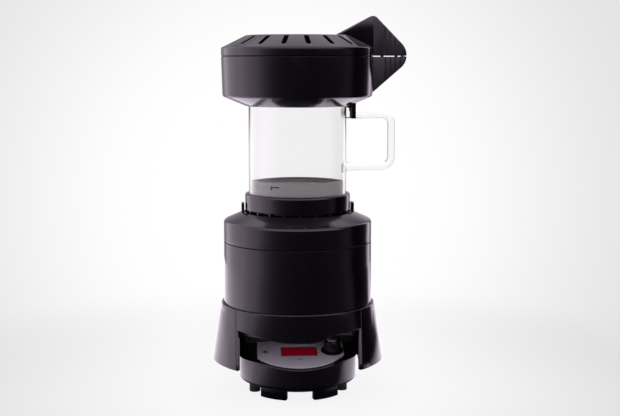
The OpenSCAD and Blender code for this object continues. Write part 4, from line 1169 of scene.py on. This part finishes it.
def build_tub():
    """Tub with the bowed sill of the control opening, a rounded lip and the screw bosses."""
    turn_mm = math.radians(1) * TUB_R
    corners = [(-84.5, Z_DECK, 0), (-66, 47.5, 12), (-40, 39.2, 60), (0, 34.9, 150), (40, 39.2, 60),
               (66, 47.5, 12), (84.5, Z_DECK, 0)]
    columns = [(p.x / turn_mm, p.y) for p in evenly(rounded(corners, 3), 3)]
    last = columns[-1][0]
    back = 2 * (180 - last)
    columns += [(last + back * k / 80, Z_DECK) for k in range(1, 80)]
    bottom = [(43.4, Z_TUB)] + [(x, y) for x, y, _ in arc(TUB_R - 5, Z_TUB + 5, 5, -90, 0, 15)]
    sheet = [[at_turn(r, turn, z) for r, z in [*bottom, (TUB_R, top)]] for turn, top in columns]
    wall = sheet_wall(sheet, WALL, size("sill_round"))
    boss = drum(4.5, Z_TUB + 1, Z_DECK, around=40)
    bore = lathe([(0, Z_TUB - 1, 0), (3.9, Z_TUB - 1, 0), (3.9, Z_TUB + 3, 0), (2.05, Z_TUB + 3, 0),
                  (2.05, Z_DECK + 1, 0), (0, Z_DECK + 1, 0)], 32)
    for turn in (105, 145, 215, 255):
        place = Matrix.Translation(at_turn(54.5, turn, 0))
        wall = less(union(wall, moved(boss.copy(), place)), moved(bore.copy(), place))
    return wall


def build_foot_ring():
    """Foot ring with its two front lugs and the long rear arc."""
    ring = lathe([(43.0, NOTCH, 0.3), (FOOT_R, NOTCH, 0.8), (FOOT_R, Z_TUB, 0.3), (43.0, Z_TUB, 0)])
    inner = lathe([(38.5, NOTCH, 0), (43.0, NOTCH, 0), (43.0, Z_TUB + 3, 0.3), (40.6, Z_TUB + 3, 0.3), (40.6, 11, 0),
                   (38.5, 11, 0)])
    corners = [(44, 0, 0.7), (FOOT_R, 0, 0.7), (FOOT_R, 12, 0), (44, 12, 0)]
    lugs = [swept(corners, sector_ends(*ends), 0.7, 60) for ends in ((16.6, 53), (-53, -16.6), (88, 272))]
    return union(ring, inner, *lugs)


def lathed_at(corners, place, around=64):
    """Turned piece moved to a place."""
    return moved(lathe(corners, around), place)


PANEL_TILT = math.radians(14.5)
PANEL = Matrix.Translation((0, -57, 37)) @ Matrix.Rotation(PANEL_TILT, 4, "X")
UPPER_ROW = 34.5  # how far up the panel's slope the window, the mode key and the knob sit
# Places on the panel: across from its middle and up its slope
START_KEY, MODE_KEY, KNOB = (0, 16.4), (-35.3, UPPER_ROW), (34.8, UPPER_ROW)
WINDOW = (18.3, 9)  # half sizes of the display window


def on_panel(x, up):
    """Place on the control panel: across from its middle and up its slope."""
    return PANEL @ Matrix.Translation((x, up, 0))


def build_panel():
    """Control panel with its window, key and shaft openings."""
    tilt = math.cos(PANEL_TILT)

    def front(x):
        return (57 - math.sqrt(57**2 - x * x)) / tilt

    bow = [(x, front(x), 0) for x in (33 - 71 * k / 48 for k in range(49))]
    outline = rounded([(-44, 57.3, 0), (47, 57.3, 0), (47, front(47), 9), *bow, (-44, front(44), 4)], 6)
    sheet = plate(outline, 1.2, 0.3, Matrix.Translation((0, 0, -1.2)))
    holes = [
        lathed_at([(0, -3, 0), (r, -3, 0), (r, 3, 0), (0, 3, 0)], Matrix.Translation((x, up, 0)), 40)
        for (x, up), r in ((START_KEY, 2.9), (MODE_KEY, 2.9), (KNOB, 4.1))
    ]
    return moved(less(sheet, window_block(0.8, -3, 3, 0.4), *holes), PANEL)


def window_block(more, z0, z1, edge):
    """Block of the display window's size, larger by an amount on each side."""
    half_x, half_y = WINDOW
    return block(
        -half_x - more, half_x + more, UPPER_ROW - half_y - more, UPPER_ROW + half_y + more, z0, z1, edge
    )


def key_mesh(x, up):
    """Round key with a domed face and its shank."""
    dome = [(r, 0.72 - 0.065 * r * r, 0) for r in (2.6, 2.3, 1.9, 1.4, 0.9, 0.4, 0)]
    return lathed_at([(0, -3.9, 0), (2.6, -3.9, 0), *dome], on_panel(x, up), 48)


def power_symbol():
    """Open ring and bar, printed in relief on the start key."""
    outer = [Vector(p[:2]) for p in arc(0, 0, 1.75, -235, 55, 10)]
    inner = [Vector(p[:2]) for p in arc(0, 0, 1.3, 55, -235, 10)]
    ring = plate(outer + inner, 0.3, 0.02)
    bar = plate([Vector(p) for p in ((-0.22, 0.3), (0.22, 0.3), (0.22, 2.0), (-0.22, 2.0))], 0.3, 0.02)
    return moved(union(ring, bar), on_panel(*START_KEY) @ Matrix.Translation((0, 0, 0.5)))


def size(name):
    """A length of the panel's settings, in millimetres."""
    return getattr(bpy.context.scene.roaster_sizes, name) / MM


def size_of(name):
    """A number of the panel's settings."""
    return getattr(bpy.context.scene.roaster_sizes, name)


# ---------- Studio ----------


@once
def studio_light():
    """Brightness that gloss sees in a direction: white behind and at the left, dark in front and at the right."""
    effect = Effect("Studio light", {"Direction": ("Vector", None)}, ("Level",))
    parts = effect.parts(effect.given("Direction"))
    turn = effect.maths("ARCTAN2", parts["X"], effect.maths("MULTIPLY", parts["Y"], -1.0))
    ramp = effect.add("ShaderNodeValToRGB", {"Fac": effect.ramp(turn, -math.pi, math.pi)})
    stops = ramp.color_ramp.elements
    while len(stops) > 1:
        stops.remove(stops[-1])
    for i, (degrees, level) in enumerate(STUDIO):
        stop = stops[0] if i == 0 else stops.new((degrees + 180) / 360)
        stop.position = (degrees + 180) / 360
        stop.color = (level / 3, level / 3, level / 3, 1)
    side = effect.maths("MULTIPLY", ramp.outputs["Color"], 3.0)
    front = effect.maths("MULTIPLY", effect.eased(parts["Z"], 0.10, 0.22), effect.eased(parts["Y"], -0.2, -0.5))
    soft = effect.mix(front, side, FRONT_LIGHT)
    effect.give("Level", effect.mix(effect.eased(parts["Z"], 0.45, 0.75), soft, TOP_LIGHT))
    return effect.tree


# Turn from the front (positive to the right) and the brightness there
STUDIO = (
    (-180, 0.45), (-158, 0.45), (-151, 0.8), (-144, 1.6), (-134, 1.75), (-127, 1.6), (-115, 1.75), (-105, 1.85),
    (-95, 2.0), (-83, 1.65), (-67, 1.25), (-53, 0.52), (-40, 0.22), (-27, 0.11), (-14, 0.08), (0, 0.055),
    (22, 0.045), (36, 0.06), (63, 0.085), (78, 0.17), (86, 0.1), (91, 0.005), (104, 0.005), (118, 0.03),
    (129, 0.1), (136, 1.4), (142, 2.2), (148, 0.6), (156, 0.35), (165, 0.7), (180, 0.7),
)


SKY = 1.0  # level that lights the matt parts from all around
FRONT_LIGHT, TOP_LIGHT = 2.2, 1.2  # levels of the soft lights that gloss mirrors
TINT = (1.0, 0.9, 1.03, 1.0)  # of what gloss mirrors


def light_world():
    """World: a soft white backdrop to the camera, and the studio's light to everything else."""
    world = bpy.data.worlds.new("Studio")
    world.use_nodes = True
    tree = Tree(world.node_tree)
    direction = tree.add("ShaderNodeTexCoord").outputs["Generated"]
    light = tree.add("ShaderNodeGroup", {"Direction": direction}, node_tree=studio_light())
    rays = tree.add("ShaderNodeLightPath").outputs
    glossy, through = rays["Is Glossy Ray"], rays["Is Transmission Ray"]
    level = tree.mix(glossy, SKY, light)
    level = tree.mix(through, level, tree.eased(tree.parts(direction)["Y"], 0.45, 0.93, 0.35, 1.0))
    level = tree.mix(rays["Is Camera Ray"], level, backdrop_level(tree, direction))
    tint = tree.blend(tree.maths("SUBTRACT", glossy, through), (1.0, 1.0, 1.0, 1.0), TINT)
    colour = tree.add("ShaderNodeVectorMath", {0: tint, 1: level}, operation="MULTIPLY")
    tree.feed(world.node_tree.nodes["Background"].inputs["Color"], colour)
    bpy.context.scene.world = world


def backdrop_level(tree, direction):
    """Backdrop that is white in the middle, with painted shade that makes it a little darker to all sides of the front
    view.
    """
    middle = Vector((0.04, 0.985, -0.115)).normalized()
    near = tree.add("ShaderNodeVectorMath", {0: direction, 1: middle}, operation="DISTANCE").outputs["Value"]
    return tree.eased(near, 0.10, 0.34, 1.0, 0.77)


def light_floor():
    """Pale floor that keeps the object's soft shadow and fades into the backdrop."""
    mesh = drum(900, -2, -0.02, around=96)
    made = Finish("Pale floor", Roughness=0.7)
    place = made.place()
    parts = made.parts(place)
    distance = made.length(place)
    rays = made.add("ShaderNodeLightPath").outputs
    glossy = rays["Is Glossy Ray"]
    camera = made.maths("MAXIMUM", rays["Is Camera Ray"], rays["Is Transmission Ray"])
    spots = made.noise(300.0, 2.0)
    made.feed(made.shader.inputs["Base Color"], made.blend(spots, paint("floor", 0.985), paint("floor", 1.0)))
    # What the camera sees: the shaded floor, lit up to the backdrop's white and dimmed to the front and sides by
    # painted shade
    ahead = made.add("ShaderNodeCombineXYZ", {"X": parts["X"], "Y": made.maths("MINIMUM", parts["Y"], 0.0)})
    seen = made.add("ShaderNodeEmission", {"Strength": made.ramp(made.length(ahead), 0.14, 0.38, 1.0, 0.79)})
    made.feed(seen.inputs["Color"], made.blend(spots, paint("backdrop", 0.995), paint("backdrop")))
    partly = shader_mix(made, 0.9, made.shader, seen)
    shown = shader_mix(made, camera, made.shader, partly)
    # What gloss mirrors: the studio's light, with painted light that makes the floor brighter behind the object and a
    # painted shadow that makes it dark under it
    light = made.add("ShaderNodeGroup", {"Direction": place}, node_tree=studio_light())
    painted_light_behind = made.ramp(parts["Y"], -0.06, -0.015, 0.0, 1.9)
    near = made.maths("MULTIPLY", painted_light_behind, made.ramp(parts["X"], 0.22, 0.36, 1.0, 0.0))
    # painted shadow: what gloss mirrors of the floor is dimmed to almost nothing near the middle, under the object
    level = made.maths("MULTIPLY", made.maths("MAXIMUM", light, near), made.ramp(distance, 0.066, 0.092, 0.04, 1.0))
    mirrored = made.add("ShaderNodeEmission", {"Color": TINT, "Strength": level})
    shown = shader_mix(made, glossy, shown, mirrored)
    fade = made.maths("MULTIPLY", made.eased(distance, 0.12, 0.6), camera)
    whole = shader_mix(made, fade, shown, made.add("ShaderNodeBsdfTransparent"))
    made.feed(made.tree.nodes["Material Output"].inputs["Surface"], whole)
    mesh.materials.append(made.material)
    new_object(mesh, "studio_floor")


def shader_mix(made, factor, first, second):
    """Shader between two shaders."""
    return made.add("ShaderNodeMixShader", {0: factor, 1: first.outputs[0], 2: second.outputs[0]})


def stand_camera():
    """Camera at the photograph's place, a little left of the front and above the middle."""
    data = bpy.data.cameras.new("Camera")
    data.lens = 67.8
    data.clip_start = 0.05
    camera = bpy.data.objects.new("Camera", data)
    camera.location = Vector((-64, -1219, 348.5)) * MM
    camera.rotation_euler = (math.radians(90 - 7.196), 0, math.radians(-3.618))
    bpy.context.scene.collection.objects.link(camera)
    bpy.context.scene.camera = camera


# ---------- Settings ----------


def length(name, description, default, most=20.0):
    """Length property, with its default in millimetres."""
    return bpy.props.FloatProperty(
        name=name, description=description, default=default * MM, min=0, max=most * MM, unit="LENGTH", precision=5
    )


def tone(name, description, default):
    """Colour property."""
    return bpy.props.FloatVectorProperty(
        name=name, description=description, default=default, size=3, min=0, max=1, subtype="COLOR"
    )


class RoasterSizes(bpy.types.PropertyGroup):
    slot_count: bpy.props.IntProperty(name="Air slots", description="Slots round the cover", default=18, min=3, max=36)
    slot_width: length("Slot width", "Width of an air slot", 4.8)
    slot_round: length("Slot mouth", "Rounding of an air slot's mouth", 0.4)
    groove_width: length("Groove width", "Width of a grip groove in the paddle", 1.6)
    groove_depth: length("Groove depth", "Depth of a grip groove in the paddle", 0.8)
    sill_round: length("Sill rounding", "Rounding of the tub's free edges", 1.1)
    ridge_count: bpy.props.IntProperty(
        name="Knob ridges", description="Ridges round the knob", default=18, min=6, max=36
    )
    coil_turns: bpy.props.FloatProperty(
        name="Coil turns", description="Turns of the heater wire", default=6, min=1, max=12
    )


class RoasterColours(bpy.types.PropertyGroup):
    plastic: tone("Gloss plastic", "Black plastic of the shells", (0.0015, 0.0010, 0.0024))
    paddle: tone("Paddle plastic", "Satin black plastic of the paddle", (0.0085, 0.0065, 0.0115))
    inner_plastic: tone("Inner plastic", "Black plastic of the inner parts", (0.010, 0.009, 0.011))
    steel: tone("Steel", "Satin stainless steel", (0.72, 0.66, 0.70))
    lacquer: tone("Lacquer", "Silver-grey lacquer of the control panel", (0.50, 0.44, 0.55))
    lens: tone("Window", "Dark red window of the display", (0.30, 0.0012, 0.013))
    silicone: tone("Silicone", "Grey silicone of the seals", (0.10, 0.095, 0.095))
    rubber: tone("Rubber", "Black rubber of the feet", (0.018, 0.018, 0.018))
    floor: tone("Floor", "Pale floor under the object", (0.80, 0.80, 0.80))
    backdrop: tone("Backdrop", "Floor and backdrop as the camera sees them", (0.975, 0.97, 0.975))


# ---------- Operators ----------


class ROASTER_OT_studio(bpy.types.Operator):
    """Sets up the camera, the pale floor and the soft studio light"""

    bl_idname = "roaster.studio"
    bl_label = "Studio"

    def execute(self, context):
        context.scene.view_settings.view_transform = "Standard"
        stand_camera()
        light_world()
        light_floor()
        return {"FINISHED"}


class ROASTER_OT_cover(bpy.types.Operator):
    """Builds the slotted cover with its paddle half, the chaff screen and the ring that holds it"""

    bl_idname = "roaster.cover"
    bl_label = "Cover"

    def execute(self, context):
        put(build_cover(), "slotted_cover", "lid_cover", finish=gripped_black)
        put(perforated(74.3, Z_LIP + 1.2, 2.8, 9, 66.5), "perforated_screen", "chaff_screen")
        ring = [(72.1, Z_LIP, 0.3), (74.3, Z_LIP, 0.3), (74.3, Z_LIP + 1.2, 0), (72.1, Z_LIP + 1.2, 0.3)]
        put(lathe(ring), "screen_holder", "screen_ring")
        return {"FINISHED"}


class ROASTER_OT_collector(bpy.types.Operator):
    """Builds the chaff bowl with its paddle half and fork, the riser tube, the bean guard and the seal"""

    bl_idname = "roaster.collector"
    bl_label = "Chaff Collector"

    def execute(self, context):
        put(build_collector(), "chaff_bowl", "collector_bowl", finish=gripped_black)
        low_z = Z_LEDGE + 3
        riser = [(30, low_z, 0.3), (RISER_R + 10, low_z, 0.6), (RISER_R + 10, low_z + 2, 0.6),
                 (RISER_R, low_z + 2, 1.5), (RISER_R, low_z + 23.2, 0.9), (30, low_z + 23.2, 0.9)]
        put(lathe(riser, 128), "chaff_riser", "riser_tube")
        put(perforated(38, Z_LEDGE + 2.2, 2, 6.5, 27), "perforated_guard", "bean_guard")
        put(hoop(47.4, 51.2, Z_GLASS_TOP, Z_LEDGE, 0.5, 128), "upper_seal", "collector_seal")
        return {"FINISHED"}


class ROASTER_OT_chamber(bpy.types.Operator):
    """Builds the glass chamber with its handle, the steel cup, the air plate, the seal and the collar"""

    bl_idname = "roaster.chamber"
    bl_label = "Roasting Chamber"

    def execute(self, context):
        put(build_glass(), "glass_tube_and_handle", "glass_chamber")
        put(build_cup(), "latched_cup", "steel_cup")
        mesh = perforated(47.15, Z_CUP - 4.5, 1.6, 6, 42)
        # The air plate's steel is darkened as painted shade, so that what is seen of it through the glass stays dark.
        put(mesh, "perforated_floor", "air_plate", finish=lambda: satin_steel(0.15))
        put(hoop(48.2, 51, Z_CUP_LOW, Z_GLASS, 0.5, 128), "lower_seal", "chamber_seal")
        put(build_collar(), "glass_collar", "chamber_collar")
        return {"FINISHED"}


class ROASTER_OT_body(bpy.types.Operator):
    """Builds the shoulder with its vent ribs and latch posts, and the plain middle shell"""

    bl_idname = "roaster.body"
    bl_label = "Body Shells"

    def execute(self, context):
        put(build_top_cover(), "body_shoulder", "top_cover")
        put(build_body(), "body_shell", "main_shell")
        return {"FINISHED"}


class ROASTER_OT_base(bpy.types.Operator):
    """Builds the flared skirt, the tub, the foot ring, the feet and the cord bushing"""

    bl_idname = "roaster.base"
    bl_label = "Base"

    def execute(self, context):
        put(build_skirt(), "flared_skirt", "base_skirt")
        put(build_tub(), "lower_tub", "tub")
        put(build_foot_ring(), "notched_ring", "foot_ring")
        on_ring = Matrix.Translation((47, 0, 0))
        finish = rubbery("rubber")
        feet = copies(moved(drum(5.8, 0, 13, 0.8, around=40), on_ring), finish, 2, 2 * 78.9, -90 - 78.9)
        pads = copies(moved(drum(2.5, 0, 4, 0.5, around=24), on_ring), finish, 2, 70, 55)
        put(joined(feet, pads), "soft_feet", "rubber_feet")
        bush = [(3.9, 76.5, 0.4), (6.6, 76.5, 0.6), (6.6, 90, 0), (9, 90, 0.5), (9, 92.45, 1.4), (3.9, 92.45, 1.0)]
        bush = lathed_at(bush, Matrix.Translation((0, 0, Z_CORD)) @ Matrix.Rotation(-math.pi / 2, 4, "X"))
        put(bush, "cord_bushing", "cord_gland")
        return {"FINISHED"}


class ROASTER_OT_controls(bpy.types.Operator):
    """Builds the control panel, the red display window, the two keys and the knob"""

    bl_idname = "roaster.controls"
    bl_label = "Controls"

    def execute(self, context):
        put(build_panel(), "sloping_panel", "control_panel")
        put(moved(window_block(0, -1.2, 0.2, 0.25), PANEL), "display_window", "display_lens")
        rim = less(window_block(0.5, -1.2, 0.2, 0.3), window_block(0, -2, 2, 0.2))
        put(moved(rim, PANEL), "display_rim", "display_lens", slot="dark_part")
        # The start key takes the silver lacquer, with its painted light that pales it towards the back.
        put(key_mesh(*START_KEY), "start_key_cap", "start_button", finish=silver_lacquer)
        put(power_symbol(), "power_symbol", "start_button", slot="dark_part")
        put(key_mesh(*MODE_KEY), "mode_key_cap", "mode_button", finish=satin_steel)
        dot = moved(drum(1.2, 0.3, 0.76, 0, 0.1, 32), on_panel(*MODE_KEY))
        put(dot, "mode_key_dot", "mode_button", slot="dark_part")
        place = on_panel(*KNOB)
        skirt = [(4.75, 0.7, 0), (11.5, 0.7, 0.3), (11.5, 1.5, 0.4), (10.2, 2.5, 0.8), (4.75, 2.5, 0)]
        put(lathed_at(skirt, place, 96), "knob_dial", "knob_skirt", finish=gloss_black)
        ridge = moved(drum(0.75, 2.6, 12.9, 0.2, 0.7, 16), Matrix.Translation((8.25, 0, 0)))
        grip = lathe(
            [(4.75, 2.5, 0), (8.5, 2.5, 0.3), (8.5, 13.9, 1.6), (2.0, 13.9, 0), (2.0, 13.6, 0), (4.75, 13.6, 0)], 96
        )
        count = size_of("ridge_count")
        grip = union(grip, copies(ridge, gloss_black(), count, 360 / count))
        put(moved(grip, place), "fluted_knob", "knob_body")
        lowest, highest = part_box("encoder_plunger")
        reach = (highest.x - lowest.x) / MM / 2
        put(moved(drum(reach, -7.5, -6.05, 0.2, 0.2, 48), place), "switch_plunger", "encoder_plunger")
        cap = lathed_at([(0, 13.9, 0), (6.25, 13.9, 0), (6.25, 15.4, 0.6), (0, 15.35, 0)], place, 64)
        put(cap, "knob_disc", "knob_cap")
        return {"FINISHED"}


class ROASTER_OT_inside(bpy.types.Operator):
    """Builds the heater coil and the notched motor plate, and gives every inner part its finish"""

    bl_idname = "roaster.inside"
    bl_label = "Inner Parts"

    def execute(self, context):
        for node, carried in frame["nodes"].items():
            carried.data.materials.clear()
            # The tie rods' steel is darkened almost to black as painted shade, as they stand in the dark recess.
            carried.data.materials.append(satin_steel(0.04) if node == "tie_rods" else finish_of(slot_of(node)))
        over_knob = block(20, 56, -90, -55, Z_DECK - 1, Z_DECK + 5, 3)
        put(less(welded(frame["nodes"]["motor_deck"].data.copy()), over_knob), "motor_plate", "motor_deck")
        lowest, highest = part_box("heater_coil")
        wire = 0.0009
        coil = grow(
            winding_tree(), turns=size_of("coil_turns"), radius=highest.x - wire,
            rise=highest.z - lowest.z - 2 * wire, wire=wire, material=finish_of(slot_of("heater_coil")),
        )
        put(moved(coil, Matrix.Translation((0, 0, (lowest.z + wire) / MM))), "wound_coil", "heater_coil")
        return {"FINISHED"}


class ROASTER_PT_panel(bpy.types.Panel):
    bl_idname = "ROASTER_PT_panel"
    bl_label = "Coffee Bean Roaster"
    bl_space_type = "VIEW_3D"
    bl_region_type = "UI"
    bl_category = "Roaster"

    def draw(self, context):
        for settings in (context.scene.roaster_sizes, context.scene.roaster_colours):
            box = self.layout.box()
            for name in settings.bl_rna.properties.keys():
                if name not in ("rna_type", "name"):
                    box.prop(settings, name)
        for step in STEPS:
            self.layout.operator(step.bl_idname)


STEPS = (
    ROASTER_OT_studio,
    ROASTER_OT_inside,
    ROASTER_OT_cover,
    ROASTER_OT_collector,
    ROASTER_OT_chamber,
    ROASTER_OT_body,
    ROASTER_OT_base,
    ROASTER_OT_controls,
)
CLASSES = (RoasterSizes, RoasterColours, *STEPS, ROASTER_PT_panel)


def register():
    for known in CLASSES:
        bpy.utils.register_class(known)
    bpy.types.Scene.roaster_sizes = bpy.props.PointerProperty(type=RoasterSizes)
    bpy.types.Scene.roaster_colours = bpy.props.PointerProperty(type=RoasterColours)


def unregister():
    del bpy.types.Scene.roaster_colours
    del bpy.types.Scene.roaster_sizes
    for known in reversed(CLASSES):
        bpy.utils.unregister_class(known)


def main():
    register()
    for step in STEPS:
        getattr(bpy.ops.roaster, step.bl_idname.split(".")[1])()


if __name__ == "__main__":
    main()
